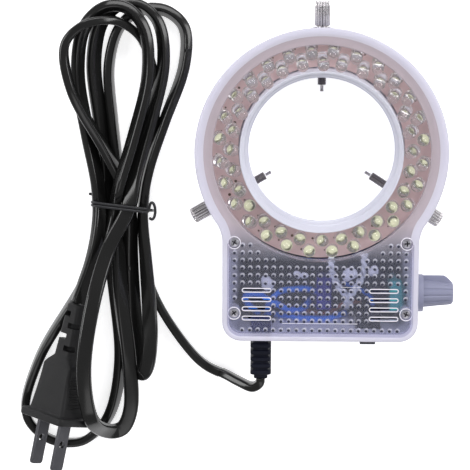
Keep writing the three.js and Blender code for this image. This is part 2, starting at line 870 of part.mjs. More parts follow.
// Rocker switch, with the rocker pressed in at its lower end
const bezel = slab(
  [switchX - bezelHalfX, switchX + bezelHalfX],
  [bezelY - bezelT, bezelY],
  [switchZ - bezelHalfZ, switchZ + bezelHalfZ],
);
const switchCase = slab(
  [switchX - switchHalfX, switchX + switchHalfX],
  [bezelY - bezelT / 2, switchInnerY],
  [switchZ - switchHalfZ, switchZ + switchHalfZ],
);
const rockerSweep = Math.hypot(rockerHalfZ, rockerOut) + gap;
const rockerWell = slab(
  [switchX - rockerHalfX - gap, switchX + rockerHalfX + gap],
  [bezelY - bezelT - overrun, rockerAxisY + rockerIn + rockerHalfZ * Math.sin(rockerTilt) + gap],
  [switchZ - rockerSweep, switchZ + rockerSweep],
);
const switchBody = cut(solid(bezel).add(solid(switchCase)), [solid(rockerWell)]);
add(light, 'switch_body', switchBody, switchPlastic);

const rocker = add(light, 'switch_rocker', alongX([
  [-rockerOut, -rockerHalfZ],
  [-rockerOut + rockerDish, 0],
  [-rockerOut, rockerHalfZ],
  [0, rockerHalfZ],
  [rockerIn, rockerHalfZ / 2],
  [rockerIn, -rockerHalfZ / 2],
  [0, -rockerHalfZ],
], -rockerHalfX, rockerHalfX), switchPlastic);
rocker.position.set(switchX, rockerAxisY, switchZ);
rocker.rotation.x = rockerTilt;

// Cord gland: a flange inside, a core through the wall, and ribs with a stub outside
const glandPieces = [
  box(glandX, glandZ, glandFlangeHalf, [glandInnerY - glandFlangeT, glandInnerY]),
  box(glandX, glandZ, glandCoreHalf, [glandFirstRibY - glandRibT, glandInnerY - glandFlangeT / 2]),
  box(glandX, glandZ, glandStubHalf, [glandStubEndY, glandFirstRibY]),
];
for (let rib = 0; rib < glandRibs; rib += 1) {
  const y = glandFirstRibY - rib * glandRibPitch;
  glandPieces.push(box(glandX, glandZ, glandHalf, [y - glandRibT, y]));
}
glandPieces.push(box(glandX, glandZ, glandCoreHalf, [
  glandFirstRibY - (glandRibs - 1) * glandRibPitch - glandRibT / 2,
  glandFirstRibY - glandRibT / 2,
]));
add(light, 'cord_gland', joined(glandPieces.map(solid)), glandRubber);

// Driver board on its posts, and the parts and wires on it
const driverTop = driverZ + boardT;
const onDriver = driverTop + gap;
add(light, 'driver_board', slab(driverX, driverY, [driverZ, driverTop]), driverLaminate);
const filmCapX = driverX[1] - filmCapInset;
const filmCapY = driverY[0] + filmCapRise;
add(light, 'film_capacitor', slab(
  [filmCapX - filmCapT, filmCapX],
  [filmCapY, filmCapY + filmCapLength],
  [onDriver, onDriver + filmCapHeight],
), indigoEpoxy);
const chipX = driverX[0] + chipInset;
const chipY = driverY[0] + chipRise;
add(light, 'driver_chip', slab(
  [chipX, chipX + chipSize[0]],
  [chipY, chipY + chipSize[1]],
  [onDriver, onDriver + chipT],
), blackSleeve);
const can = rod(canR, onDriver, onDriver + canLength, roundSides);
can.translate(driverX[0] + canInset, driverY[0] + canRise, 0);
add(light, 'electrolytic_capacitor', can, blackSleeve);

// Wires of the light, from end to end. A place is a share of the box's half width, a share of its reach
// below the ring's centre and a height, which is a share of the light's height between the two ends.
const ledWireZ = boardTop + gap + wireR;
const onBoardZ = onDriver + wireR;
const [mainsZ, switchWireZ] = [glandZ, switchZ - switchHalfZ / 4];
const wireEdgeY = boardOuterR - wireInset;
const glandEndY = -(glandInnerY + wireStandoff);
const switchEndY = -(switchInnerY + wireStandoff);
const wires = {
  led_wire_left: [whiteWire, [wireEdgeY, ledWireZ], [null, onBoardZ], [
    [0.122, 0.56], [0.124, 0.683, 0.623], [0.229, 0.793, 0.55], [0.268, 0.855, 0.367], [0.254, 0.869],
  ]],
  led_wire_right: [whiteWire, [wireEdgeY - wireInset, ledWireZ], [null, onBoardZ], [
    [0.439, 0.52], [0.512, 0.683, 0.613], [0.42, 0.779, 0.547], [0.307, 0.829, 0.367], [0.273, 0.831],
  ]],
  mains_wire_blue: [blueWire, [glandEndY, mainsZ], [null, onBoardZ], [
    [-0.644, 0.89], [-0.768, 0.868, 0.4], [-0.785, 0.816, 0.35], [-0.693, 0.782, 0.287], [-0.61, 0.792],
  ]],
  mains_wire_brown: [brownWire, [glandEndY, mainsZ], [switchEndY, switchWireZ], [
    [-0.566, 0.89], [-0.463, 0.861, 0.433], [-0.293, 0.884, 0.4], [0.1, 0.905, 0.417], [0.25, 0.845, 0.5],
    [0.405, 0.84],
  ]],
  switch_wire_blue: [blueWire, [switchEndY, switchWireZ], [null, onBoardZ], [
    [0.561, 0.85], [0.527, 0.799, 0.4], [0.366, 0.769, 0.317], [0.249, 0.757],
  ]],
};
for (const [name, [look, first, last, shares]] of Object.entries(wires)) {
  const points = shares.map(([x, y, z]) => [x * boxHalf, -y * boxBottom, z * lightHeight]);
  for (const [end, [depth, height]] of [[points[0], first], [points.at(-1), last]]) {
    end[1] = depth === null ? end[1] : -depth;
    end[2] = height;
  }
  add(light, name, sweep(route(points, wireSteps), wireR, wireSides), look);
}

// The hank's lobes above and below the waist, in the order in which the cord runs through them.
// feet are where a lobe leaves and meets the waist, and far is its far point. swell is how far its two
// legs bow out, and rise, lean and blunt are powers that shape its legs and its bend.
// layers says how many layers of cord are under it at each twelfth of its way round.
const lobes = [
  {
    feet: [-74.9, -80.7], far: [-89, 50.5], swell: [16, 30], rise: 1.27, lean: 2.89, blunt: [2.06, 2.06],
    layers: [0, 0, 0, 0, 0.3, 1.6, 2.4, 3, 3, 3, 1.7, 1, 1],
  },
  {
    feet: [-80.7, -75.1], far: [-76.2, -102.6], swell: [-0.9, -4.1], rise: 0.68, lean: 1.23, blunt: [1.02, 1.02],
    layers: [1, 0.1, 0, 0, 0, 0, 0.2, 0.6, 0.9, 1, 1, 1, 1],
  },
  {
    feet: [-75.1, -85.8], far: [-71.2, 56.3], swell: [19.1, 17.9], rise: 0.96, lean: 1.1, blunt: [1.77, 1.77],
    layers: [1, 1, 1, 0.4, 0, 0, 0, 0, 0, 0, 0, 0, 0],
  },
  {
    feet: [-85.8, -81.2], far: [-82.5, -128.2], swell: [1.4, 19.3], rise: 1.1, lean: 1.42, blunt: [1.08, 1.08],
    layers: [0, 0.9, 1.2, 1, 1, 1, 1, 2, 4.4, 5, 4.4, 2.4, 2],
  },
  {
    feet: [-81.2, -90.8], far: [-80.6, 59.1], swell: [16.8, 15.8], rise: 0.99, lean: 0.66, blunt: [1.39, 1.39],
    layers: [2, 1.8, 1.3, 1, 1, 1, 1, 1, 1, 0.6, 0.2, 0, 0],
  },
  {
    feet: [-90.8, -87.3], far: [-106, -133.1], swell: [19, 34], rise: 1.25, lean: 1.44, blunt: [1.74, 2.1],
    layers: [0, 0, 0, 0, 0, 0, 0, 0, 0, 0, 0, 1.1, 1],
  },
  {
    feet: [-87.3, -93.4], far: [-86.2, 58.8], swell: [16.9, 17.7], rise: 1.18, lean: 0.92, blunt: [1.54, 1.54],
    layers: [1, 2.4, 2.2, 2, 2, 2, 2, 2, 1.9, 1.3, 1, 1, 1],
  },
];

// The point of a lobe after some of its twelfths, which lie closer together at the waist and the bend
function lobePoint(lobe, twelfth) {
  const share = twelfth / lobeSteps - bunching * Math.sin((4 * Math.PI * twelfth) / lobeSteps);
  const out = Math.cos(Math.PI * share);
  const reach = Math.sin(Math.PI * share);
  const foot = THREE.MathUtils.lerp(lobe.feet[0], lobe.feet[1], (1 - out) / 2);
  const leg = out > 0 ? 0 : 1;
  const bow = 2 * lobe.swell[leg] * out * reach ** lobe.blunt[leg];
  return new THREE.Vector3(
    foot + (lobe.far[0] - foot) * reach ** lobe.lean + bow,
    waistY + (lobe.far[1] - waistY) * reach ** lobe.rise,
    clearBelow + cordR + lobe.layers[twelfth] * layer + tieLift * (1 - reach) ** 2,
  );
}

function hankLine() {
  const line = [lobePoint(lobes[0], 0)];
  for (const lobe of lobes) {
    for (let twelfth = 1; twelfth <= lobeSteps; twelfth += 1) {
      line.push(lobePoint(lobe, twelfth));
    }
  }
  return line;
}

// The least gap of a tube to itself, measured between points of its line that lie some diameters apart
function leastGap(line, r) {
  const fine = [];
  let run = 0;
  for (let k = 0; k + 1 < line.length; k += 1) {
    const step = line[k].distanceTo(line[k + 1]);
    for (let i = 0; i < gapSteps; i += 1) {
      fine.push([line[k].clone().lerp(line[k + 1], i / gapSteps), run + (step * i) / gapSteps]);
    }
    run += step;
  }
  let least = Infinity;
  fine.forEach(([p, from], i) => {
    for (const [q, to] of fine.slice(i + 1)) {
      if (to - from > apart * 2 * r) least = Math.min(least, p.distanceTo(q));
    }
  });
  return least - 2 * r;
}

const hank = hankLine();
console.log(`least gap of the hank to itself: ${leastGap(hank, cordR).toFixed(2)} mm`);
add(cord, 'cord_hank', sweep(hank, cordR, cordSides), cordVinyl);
// The lead starts square to the gland's end
const leadLine = [new THREE.Vector3(...leadRoute[0]), ...route(leadRoute.slice(1), leadSteps)];
add(cord, 'cord_lead', sweep(leadLine, cordR, leadSides), cordVinyl);
add(cord, 'cord_tail', sweep(route(tailRoute, tailSteps), cordR, leadSides), cordVinyl);

// The tie's wire, a flattened coil round the waist
function tieLine() {
  const line = tieEndRoute.map((p) => new THREE.Vector3(...p));
  const rounded = (v) => Math.sign(v) * Math.abs(v) ** tieBluntness;
  for (let i = 0; i <= tieSteps; i += 1) {
    const share = i / tieSteps;
    const a = Math.PI - share * tieTurns * 2 * Math.PI;
    const x = tieHalfX * rounded(Math.cos(a));
    const y = tieFirstY - tiePitch * tieTurns * share - tieSlope * x;
    line.push(new THREE.Vector3(tieX + x, y, clearBelow + tieR + tieHalfZ * (1 + rounded(Math.sin(a)))));
  }
  const end = line.at(-1);
  for (let i = 1; i <= tieCurlSteps; i += 1) {
    const share = i / tieCurlSteps;
    const a = share * tieCurlShare * 2 * Math.PI;
    line.push(new THREE.Vector3(
      end.x + tieCurlHalfX * Math.sin(a),
      end.y + tieCurlR * (1 - Math.cos(a)),
      end.z + tieCurlRise * Math.min(1, share / tieClimbShare),
    ));
  }
  return line;
}

add(cord, 'twist_tie', sweep(tieLine(), tieR, tieSides), cordVinyl);

// The plug is modelled along its own line, from the relief to the blades
function plugFrame() {
  const along = new THREE.Vector3().subVectors(plugFace, plugStart).normalize();
  const level = new THREE.Vector3(0, 0, 1).cross(along).normalize();
  const upward = new THREE.Vector3().crossVectors(along, level);
  const wide = level.clone().multiplyScalar(Math.cos(plugRoll));
  wide.addScaledVector(upward, Math.sin(plugRoll));
  const thick = new THREE.Vector3().crossVectors(along, wide);
  return new THREE.Matrix4().makeBasis(wide, thick, along).setPosition(plugStart);
}

// A rectangle with cut corners
function cutRectangle([x, y], corner) {
  return [
    [x - corner, -y], [x, corner - y], [x, y - corner], [x - corner, y],
    [corner - x, y], [-x, y - corner], [-x, corner - y], [corner - x, -y],
  ].map((p) => new THREE.Vector2(...p));
}

const plugLength = plugFace.distanceTo(plugStart);
const flangeStart = plugLength - flangeT;
const reliefLength = flangeStart - plugBodyLength;

function plugBody() {
  const relief = solid(skin([
    [0, cutRectangle(reliefStart, reliefCorner)],
    [reliefLength, cutRectangle(plugNeck, reliefCorner)],
  ]));
  const body = solid(skin([
    [reliefLength, cutRectangle(plugNeck, plugCorner)],
    [reliefLength + plugShoulderLength, cutRectangle(plugShoulder, plugCorner)],
    [flangeStart + flangeCorner, cutRectangle(plugBase, plugCorner)],
  ]));
  const flange = solid(prism(cutRectangle([flangeHalfX, flangeHalfY], flangeCorner), flangeStart, plugLength));
  const holes = [];
  for (let i = 0; i < reliefNotches; i += 1) {
    const z = reliefFirstNotch + i * reliefNotchPitch;
    const zs = [z - reliefNotch / 2, z + reliefNotch / 2];
    for (const side of [-1, 1]) {
      const across = side < 0 ? [-flangeHalfX, -reliefCore] : [reliefCore, flangeHalfX];
      const along = [-flangeHalfX, flangeHalfX];
      holes.push(solid(i % 2 ? slab(along, across, zs) : slab(across, along, zs)));
    }
  }
  for (const side of [-1, 1]) {
    const x = (side * bladeSpacing) / 2;
    holes.push(solid(slab(
      [x - bladeT / 2 - gap, x + bladeT / 2 + gap],
      [-bladeWidth / 2 - gap, bladeWidth / 2 + gap],
      [plugLength - bladeRoot - gap, plugLength + overrun],
    )));
  }
  return cut(joined([relief, body, flange]), holes);
}

function plugBlade() {
  const [x, y] = [[-bladeT / 2, bladeT / 2], bladeWidth / 2];
  const tip = plugLength + bladeLength;
  const outlinePoints = [
    [-y, plugLength - bladeRoot], [y, plugLength - bladeRoot], [y, tip - bladeCorner],
    [y - bladeCorner, tip], [bladeCorner - y, tip], [-y, tip - bladeCorner],
  ];
  const hole = rod(bladeHoleR, x[0] - overrun, x[1] + overrun, smallSides).rotateY(Math.PI / 2);
  hole.translate(0, 0, tip - bladeHoleFromTip);
  return cut(solid(alongX(outlinePoints, ...x)), [solid(hole)]);
}

add(cord, 'plug_body', plugBody(), plugVinyl).applyMatrix4(plugFrame());
for (const [k, side] of [-1, 1].entries()) {
  const blade = plugBlade().translate([(side * bladeSpacing) / 2, 0, 0]);
  add(cord, `plug_blade_${k + 1}`, blade, nickel).applyMatrix4(plugFrame());
}

// The origin goes under the middle of the light itself
const bounds = new THREE.Box3().setFromObject(light, true);
const middle = bounds.getCenter(new THREE.Vector3());
const model = new THREE.Group();
model.add(light, cord);
model.position.set(-middle.x, -middle.y, -bounds.min.z);

export default model;
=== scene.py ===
# %% [markdown]
# # A ring light for a stereo microscope
# The light lies on its back with its lamps up, and its flat mains cord lies beside it in a tied hank.
# A solid model of it is already there, so this lesson gives each part its finer shape and its finish.
# It starts by loading that model as a fixed frame and by noting how large it is.

from math import cos, pi, radians, sin

import bmesh
import bpy
import numpy as np
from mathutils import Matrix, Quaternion, Vector
from mathutils.kdtree import KDTree


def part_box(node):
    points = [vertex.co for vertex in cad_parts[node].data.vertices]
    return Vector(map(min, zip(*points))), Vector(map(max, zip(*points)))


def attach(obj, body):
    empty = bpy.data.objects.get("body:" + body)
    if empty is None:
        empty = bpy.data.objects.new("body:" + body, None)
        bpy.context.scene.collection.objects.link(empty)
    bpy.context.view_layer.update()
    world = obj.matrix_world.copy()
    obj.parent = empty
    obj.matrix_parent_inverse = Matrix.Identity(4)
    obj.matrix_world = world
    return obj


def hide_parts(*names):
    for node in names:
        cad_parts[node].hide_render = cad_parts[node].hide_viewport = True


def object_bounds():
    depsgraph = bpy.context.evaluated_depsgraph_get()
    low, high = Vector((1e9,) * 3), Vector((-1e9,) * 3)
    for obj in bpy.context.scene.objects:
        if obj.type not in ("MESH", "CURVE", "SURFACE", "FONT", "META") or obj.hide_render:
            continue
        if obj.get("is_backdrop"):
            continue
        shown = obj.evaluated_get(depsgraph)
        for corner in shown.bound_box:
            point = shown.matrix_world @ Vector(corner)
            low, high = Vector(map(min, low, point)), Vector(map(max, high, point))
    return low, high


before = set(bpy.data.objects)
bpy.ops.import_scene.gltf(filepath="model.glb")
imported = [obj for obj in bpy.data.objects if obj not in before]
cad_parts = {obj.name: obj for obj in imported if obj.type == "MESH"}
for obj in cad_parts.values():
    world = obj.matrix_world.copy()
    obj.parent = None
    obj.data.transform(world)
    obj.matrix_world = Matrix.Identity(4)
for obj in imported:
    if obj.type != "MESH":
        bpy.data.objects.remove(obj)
solid_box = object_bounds()
print("parts in the frame:", len(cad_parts))

# %% [markdown]
# Every shape below is worked out in millimetres from the middle of the ring, because that is how such a
# light is drawn. One function moves finished points to the frame, which is in metres. The others are small
# tools for what comes again and again: vectors one long, angles round a turn, flat loops at a height,
# distances and directions along a path, and new objects.

# %% Millimetres about the ring's middle
MM = 0.001
board_low, board_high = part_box("led_board")
RING_CENTRE = np.array([
    (board_low[0] + board_high[0]) / 2,
    (board_low[1] + board_high[1]) / 2,
    0,
]) / MM


def to_frame(points):
    """Points in millimetres about the ring's middle, as points in metres in the frame."""
    return (np.asarray(points, dtype=float) + RING_CENTRE) * MM


def unit(vectors):
    """Vectors in their own directions, each one long."""
    return vectors / np.linalg.norm(vectors, axis=-1, keepdims=True)


def full_turn(count):
    """Angles round a full turn, without the last one, which would repeat the first."""
    return np.linspace(0, 2 * pi, count, endpoint=False)


def at_height(flat, z):
    """Flat points as points at one height."""
    return np.column_stack([flat, np.full(len(flat), z)])


def distances_along(points, power=1):
    """How far along a line each of its points lies. A power of 0.5 adds up the roots of its steps."""
    steps = np.linalg.norm(np.diff(points, axis=0), axis=1) ** power
    return np.concatenate([[0], np.cumsum(steps)])


def axes_along(path, upward=(0, 0, 1.0)):
    """Three directions at each point of a path: ahead, to its side and up."""
    ahead = unit(np.gradient(path, axis=0))
    side = unit(np.cross(ahead, upward))
    return ahead, side, np.cross(side, ahead)


def add_object(name, data):
    """A new object in the scene."""
    made = bpy.data.objects.new(name, data)
    bpy.context.collection.objects.link(made)
    return made


print("ring's middle in the frame, mm:", RING_CENTRE.round(3))

# %% [markdown]
# The camera hangs high over the light and a little behind its top, so the inside of the bore shows a
# wider rim at the bottom than at the top. Its long lens keeps the outline almost free of perspective.

# %% Camera
SENSOR_MM, FOCAL_PIXELS, PICTURE_PIXELS = 36, 2839.517, 470
view_turn = Vector((0.2199523, -0.0187363, -0.0063654))
camera = add_object("camera", bpy.data.cameras.new("camera"))
camera.data.sensor_width = SENSOR_MM
camera.data.lens = SENSOR_MM * FOCAL_PIXELS / PICTURE_PIXELS
camera.location = (-0.014965, 0.243065, 1.181977)
camera.rotation_mode = "QUATERNION"
camera.rotation_quaternion = Quaternion(-view_turn.normalized(), view_turn.length)
bpy.context.scene.camera = camera
bpy.context.scene.view_settings.view_transform = "Standard"
print("camera height, m:", round(camera.location.z, 3))

# %% [markdown]
# A material is a small tree of nodes. One function adds any node, sets it up and links it, a second starts
# an empty tree, and a third turns the hex colours that a designer writes into the linear values that
# Blender works with.

# %% Node and colour helpers
def add_node(tree, kind, inputs=None, **settings):
    """Adds one node. Settings are its own properties, and an input is either a value or a link."""
    made = tree.nodes.new(kind)
    for name, value in settings.items():
        setattr(made, name, value)
    for name, value in (inputs or {}).items():
        if isinstance(value, bpy.types.NodeSocket):
            tree.links.new(value, made.inputs[name])
        else:
            made.inputs[name].default_value = value
    return made


def cleared_tree(owner):
    """The node tree of a material or a sky, without the nodes that it starts with."""
    owner.use_nodes = True
    owner.node_tree.nodes.clear()
    return owner.node_tree


def linear(hex_colour):
    """An sRGB hex colour as linear RGBA: each part is divided by 12.92 when dark, or raised to 2.4."""
    parts = np.array([int(hex_colour[i:i + 2], 16) for i in (1, 3, 5)]) / 255
    curved = ((parts + 0.055) / 1.055) ** 2.4
    return (*np.where(parts <= 0.04045, parts / 12.92, curved), 1)


print("mid grey in linear light:", round(linear("#808080")[0], 3))

# %% [markdown]
# The light stands in a white studio. The floor is white where the camera, a reflection or a clear part
# looks at it, and it still takes a faint shadow. Four soft lamps and a pale sky light the parts evenly, at
# a level where a colour comes out nearly as it is written. The lamp at the back is a wide strip, so small
# round shapes catch it as a crescent.

# %% Studio
FLOOR_HALF_M, FLOOR_GLOW, SKY_LIGHT = 1.6, 0.7, 0.36


def studio_floor():
    """A white floor: plain diffuse white, which also glows a little for the camera and for reflections."""
    paper = bpy.data.materials.new("white_studio_paper")
    tree = cleared_tree(paper)
    path = add_node(tree, "ShaderNodeLightPath")
    seen = add_node(tree, "ShaderNodeMath", {0: path.outputs["Is Camera Ray"],
                                             1: path.outputs["Is Glossy Ray"]}, operation="MAXIMUM")
    either = add_node(tree, "ShaderNodeMath", {0: seen.outputs[0],
                                               1: path.outputs["Is Transmission Ray"]}, operation="MAXIMUM")
    glow = add_node(tree, "ShaderNodeMath", {0: either.outputs[0], 1: FLOOR_GLOW},
                    operation="MULTIPLY")
    base = add_node(tree, "ShaderNodeBsdfDiffuse", {"Color": linear("#f4f4f6")})
    lit = add_node(tree, "ShaderNodeEmission", {"Strength": glow.outputs[0]})
    both = add_node(tree, "ShaderNodeAddShader", {0: base.outputs[0], 1: lit.outputs[0]})
    add_node(tree, "ShaderNodeOutputMaterial", {"Surface": both.outputs[0]})
    mesh = bpy.data.meshes.new("studio_floor")
    corners = [(u * FLOOR_HALF_M, v * FLOOR_HALF_M, 0) for u, v in ((-1, -1), (1, -1), (1, 1), (-1, 1))]
    mesh.from_pydata(corners, [], [(0, 1, 2, 3)])
    mesh.materials.append(paper)
    floor = add_object("studio_floor", mesh)
    floor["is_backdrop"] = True


def soft_lamp(name, place, width, height, power):
    """A flat area lamp of that width and height in metres, turned towards the ring light."""
    data = bpy.data.lights.new(name, "AREA")
    data.energy = power
    data.shape = "RECTANGLE"
    data.size = width
    data.size_y = height
    lamp = add_object(name, data)
    lamp.location = place
    lamp.rotation_mode = "QUATERNION"
    lamp.rotation_quaternion = (-Vector(place)).to_track_quat("-Z", "Y")


studio_floor()
soft_lamp("lamp_left", (-1.1, 0.2, 0.8), 0.6, 0.6, 6.8)
soft_lamp("lamp_right", (1.1, 0.3, 0.9), 0.6, 0.6, 6.8)
soft_lamp("lamp_back", (0.25, 1.2, 0.9), 1.6, 0.5, 12)
soft_lamp("lamp_front", (0.1, -0.9, 1.2), 0.8, 0.8, 2.7)
sky = bpy.data.worlds.new("pale_sky")
bpy.context.scene.world = sky
sky_tree = cleared_tree(sky)
sky_path = add_node(sky_tree, "ShaderNodeLightPath")
sky_level = add_node(sky_tree, "ShaderNodeMapRange", {
    "Value": sky_path.outputs["Is Camera Ray"], "To Min": SKY_LIGHT, "To Max": 1.0})
sky_glow = add_node(sky_tree, "ShaderNodeBackground", {"Strength": sky_level.outputs[0]})
add_node(sky_tree, "ShaderNodeOutputWorld", {"Surface": sky_glow.outputs[0]})

# %% [markdown]
# Most finishes here are moulded plastics. Each has slightly uneven colour, a faint grain that is measured
# in millimetres, and its own gloss. Noise on Object coordinates gives both colour and grain, so the pattern
# keeps its real size on every part.

# %% Moulded finishes
CLOUD_MM, GRAIN_LIFT_MM = 9, 0.2


def moulded(name, hex_colours, roughness, grain_mm=0.5, bump=0.06, **sockets):
    """A moulded surface. Its colour wanders between two near colours over some millimetres, and its
    grain lifts the surface by a share, bump, of GRAIN_LIFT_MM. More of the shader's sockets go by name."""
    made = bpy.data.materials.new(name)
    tree = cleared_tree(made)
    place = add_node(tree, "ShaderNodeTexCoord")
    cloud = add_node(tree, "ShaderNodeTexNoise", {
        "Vector": place.outputs["Object"], "Scale": 1 / (CLOUD_MM * MM), "Detail": 3.0})
    tint = add_node(tree, "ShaderNodeMix", {
        "Factor": cloud.outputs["Fac"], 6: linear(hex_colours[0]), 7: linear(hex_colours[1])},
        data_type="RGBA")
    grain = add_node(tree, "ShaderNodeTexNoise", {
        "Vector": place.outputs["Object"], "Scale": 1 / (grain_mm * MM), "Detail": 2.0})
    lift = add_node(tree, "ShaderNodeBump", {
        "Height": grain.outputs["Fac"], "Strength": bump, "Distance": GRAIN_LIFT_MM * MM})
    shader = add_node(tree, "ShaderNodeBsdfPrincipled", {
        "Base Color": tint.outputs[2], "Roughness": roughness, "Normal": lift.outputs["Normal"]})
    for socket, value in sockets.items():
        shader.inputs[socket.replace("_", " ")].default_value = value
    add_node(tree, "ShaderNodeOutputMaterial", {"Surface": shader.outputs[0]})
    return made


def let_lamps_through(material, share):
    """Lets that share of the lamps' light reach what is under a clear finish: a shadow ray goes through it,
    and any other ray meets the finish itself."""
    tree = material.node_tree
    output = next(n for n in tree.nodes if n.bl_idname == "ShaderNodeOutputMaterial")
    shader = output.inputs["Surface"].links[0].from_socket
    path = add_node(tree, "ShaderNodeLightPath")
    open_air = add_node(tree, "ShaderNodeBsdfTransparent", {"Color": (share, share, share, 1)})
    blend = add_node(tree, "ShaderNodeMixShader", {0: path.outputs["Is Shadow Ray"], 1: shader,
                                                   2: open_air.outputs[0]})
    tree.links.new(blend.outputs[0], output.inputs["Surface"])
    return material


# Glossy white ABS: the deep back shell. It is a cool, slightly lavender white.
white_abs = moulded("glossy_white_abs", ("#dedeea", "#d4d4e3"), 0.28, Coat_Weight=0.15)
# Frosted polycarbonate: the cover's plate. What lies close behind it shows, blurred and greyed.
frosted_cover = let_lamps_through(moulded(
    "frosted_polycarbonate", ("#cacbda", "#bec0d0"), 0.24, IOR=1.3), 0.8)
HAZE_FROM_Y, HAZE_FULL_Y, CLEAR_AT_BOX, CLEAR_AT_RING = -46, -30, 0.93, 0.42


def hazier_over_the_ring(material):
    """Over the box the plate is nearly clear, and over the ring, where it is thicker, it is a mauve haze.
    Share = how far Y is between two lines across the neck, and it sets both clearness and colour."""
    tree = material.node_tree
    shader = next(n for n in tree.nodes if n.bl_idname == "ShaderNodeBsdfPrincipled")
    place = add_node(tree, "ShaderNodeTexCoord")
    axes = add_node(tree, "ShaderNodeSeparateXYZ", {0: place.outputs["Object"]})
    share = add_node(tree, "ShaderNodeMapRange", {
        "Value": axes.outputs["Y"], "From Min": (RING_CENTRE[1] + HAZE_FROM_Y) * MM,
        "From Max": (RING_CENTRE[1] + HAZE_FULL_Y) * MM})
    clear = add_node(tree, "ShaderNodeMapRange", {
        "Value": share.outputs[0], "To Min": CLEAR_AT_BOX, "To Max": CLEAR_AT_RING})
    plain = shader.inputs["Base Color"].links[0].from_socket
    tint = add_node(tree, "ShaderNodeMix", {
        "Factor": share.outputs[0], 6: plain, 7: linear("#cbc0c7")}, data_type="RGBA")
    tree.links.new(clear.outputs[0], shader.inputs["Transmission Weight"])
    tree.links.new(tint.outputs[2], shader.inputs["Base Color"])


hazier_over_the_ring(frosted_cover)
# The same plastic on edge, where it is thick: the rim is nearly solid white and only its depth glows.
frosted_rim = let_lamps_through(moulded(
    "frosted_polycarbonate_rim", ("#e4e2ee", "#dcdae8"), 0.22, Transmission_Weight=0.3, IOR=1.3), 0.8)
# Solder mask over glass laminate: the lamp board is a dull brownish pink.
pink_mask = moulded("pink_solder_mask", ("#cbb2b2", "#c0a6a6"), 0.45, grain_mm=0.8)
print("materials so far:", len(bpy.data.materials))

# %% [markdown]
# Every new part is a surface over a grid of points. A row of the grid is a closed loop round the part,
# and the rows follow its profile. Rows that shrink to one point close the ends, and a grid whose last row
# joins its first is a closed ring. Faces are then turned outwards, and only real edges stay sharp. A part
# can also have its edges rounded, holes cut out of it, and a second material on some of its faces.

# %% Surfaces from grids
SHARP_DEGREES, SAME_POINT_MM, NO_LENGTH_MM = 38, 0.0005, 0.0002


def finish_mesh(mesh, sharp_degrees):
    """Closes doubled points, turns the faces outwards and keeps only edges above an angle sharp."""
    body = bmesh.new()
    body.from_mesh(mesh)
    bmesh.ops.remove_doubles(body, verts=body.verts, dist=SAME_POINT_MM * MM)
    bmesh.ops.dissolve_degenerate(body, edges=body.edges, dist=NO_LENGTH_MM * MM)
    bmesh.ops.recalc_face_normals(body, faces=body.faces)
    body.to_mesh(mesh)
    body.free()
    mesh.shade_smooth()
    mesh.set_sharp_from_angle(angle=radians(sharp_degrees))


def part_from_grids(name, grids, material, ring=False, body="light", sharp_degrees=SHARP_DEGREES):
    """One part from grids of points in millimetres. Each grid has rows of closed loops, and ring joins
    the last row to the first. Each grid may repeat for many copies: its shape is (..., rows, loop, 3)."""
    points, faces, base = [], [], 0
    for grid in grids:
        copies = np.asarray(grid, dtype=float).reshape(-1, *np.shape(grid)[-3:])
        count, rows, loop, _ = copies.shape
        last = rows if ring else rows - 1
        i, j = np.meshgrid(np.arange(last), np.arange(loop), indexing="ij")
        i2, j2 = (i + 1) % rows, (j + 1) % loop
        quads = np.stack([i * loop + j, i * loop + j2, i2 * loop + j2, i2 * loop + j], axis=-1).reshape(-1, 4)
        steps = np.arange(count)[:, None, None] * rows * loop
        faces.append((quads[None] + steps + base).reshape(-1, 4))
        points.append(copies.reshape(-1, 3))
        base += count * rows * loop
    mesh = bpy.data.meshes.new(name)
    mesh.from_pydata(to_frame(np.concatenate(points)).tolist(), [], np.concatenate(faces).tolist())
    finish_mesh(mesh, sharp_degrees)
    mesh.materials.append(material)
    part = add_object(name, mesh)
    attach(part, body)
    print(name, len(mesh.polygons), "faces")
    return part


def apply_modifier(part):
    """Makes a part's modifier part of its mesh."""
    graph = bpy.context.evaluated_depsgraph_get()
    done = bpy.data.meshes.new_from_object(part.evaluated_get(graph), depsgraph=graph)
    part.modifiers.clear()
    part.data = done
    done.set_sharp_from_angle(angle=radians(SHARP_DEGREES))


def soften(part, width_mm):
    """Rounds a part's sharp edges to a small width."""
    bevel = part.modifiers.new("rounded_edges", "BEVEL")
    bevel.width = width_mm * MM
    bevel.segments = 2
    bevel.limit_method = "ANGLE"
    bevel.angle_limit = radians(35)
    apply_modifier(part)


def cut_out(part, grids):
    """Cuts closed grids out of a part."""
    tool = part_from_grids("cutter", grids, part.data.materials[0])
    hole = part.modifiers.new("holes", "BOOLEAN")
    hole.operation = "DIFFERENCE"
    hole.solver = "EXACT"
    hole.object = tool
    apply_modifier(part)
    bpy.data.objects.remove(tool)


def give_second_material(part, material, chosen):
    """Gives a second material to some faces. Their middles, in millimetres, are chosen by a function."""
    part.data.materials.append(material)
    middles = np.empty(len(part.data.polygons) * 3)
    part.data.polygons.foreach_get("center", middles)
    picked = chosen(middles.reshape(-1, 3) / MM - RING_CENTRE)
    index = np.where(picked, len(part.data.materials) - 1, 0)
    part.data.polygons.foreach_set("material_index", index.astype(np.int32))


# %% [markdown]
# The outline is a ring that runs into a box: a circle, two hollow neck arcs, two straight sides and two
# rounded corners. Drawing it in by a distance keeps the same number of points on every piece of it, so
# outlines at different heights join into a smooth wall.

# %% Outline
RING_R, BOX_HALF, BOX_BOTTOM = 52.7, 41.0, 80.1
CORNER_R, NECK_R, LIGHT_HEIGHT, WALL_LEAN = 8.0, 16.0, 30.0, 5
SIDE_COUNT, NECK_COUNT, RING_COUNT = 12, 10, 62
NECK_CENTRE = np.array([57.0, -38.2])


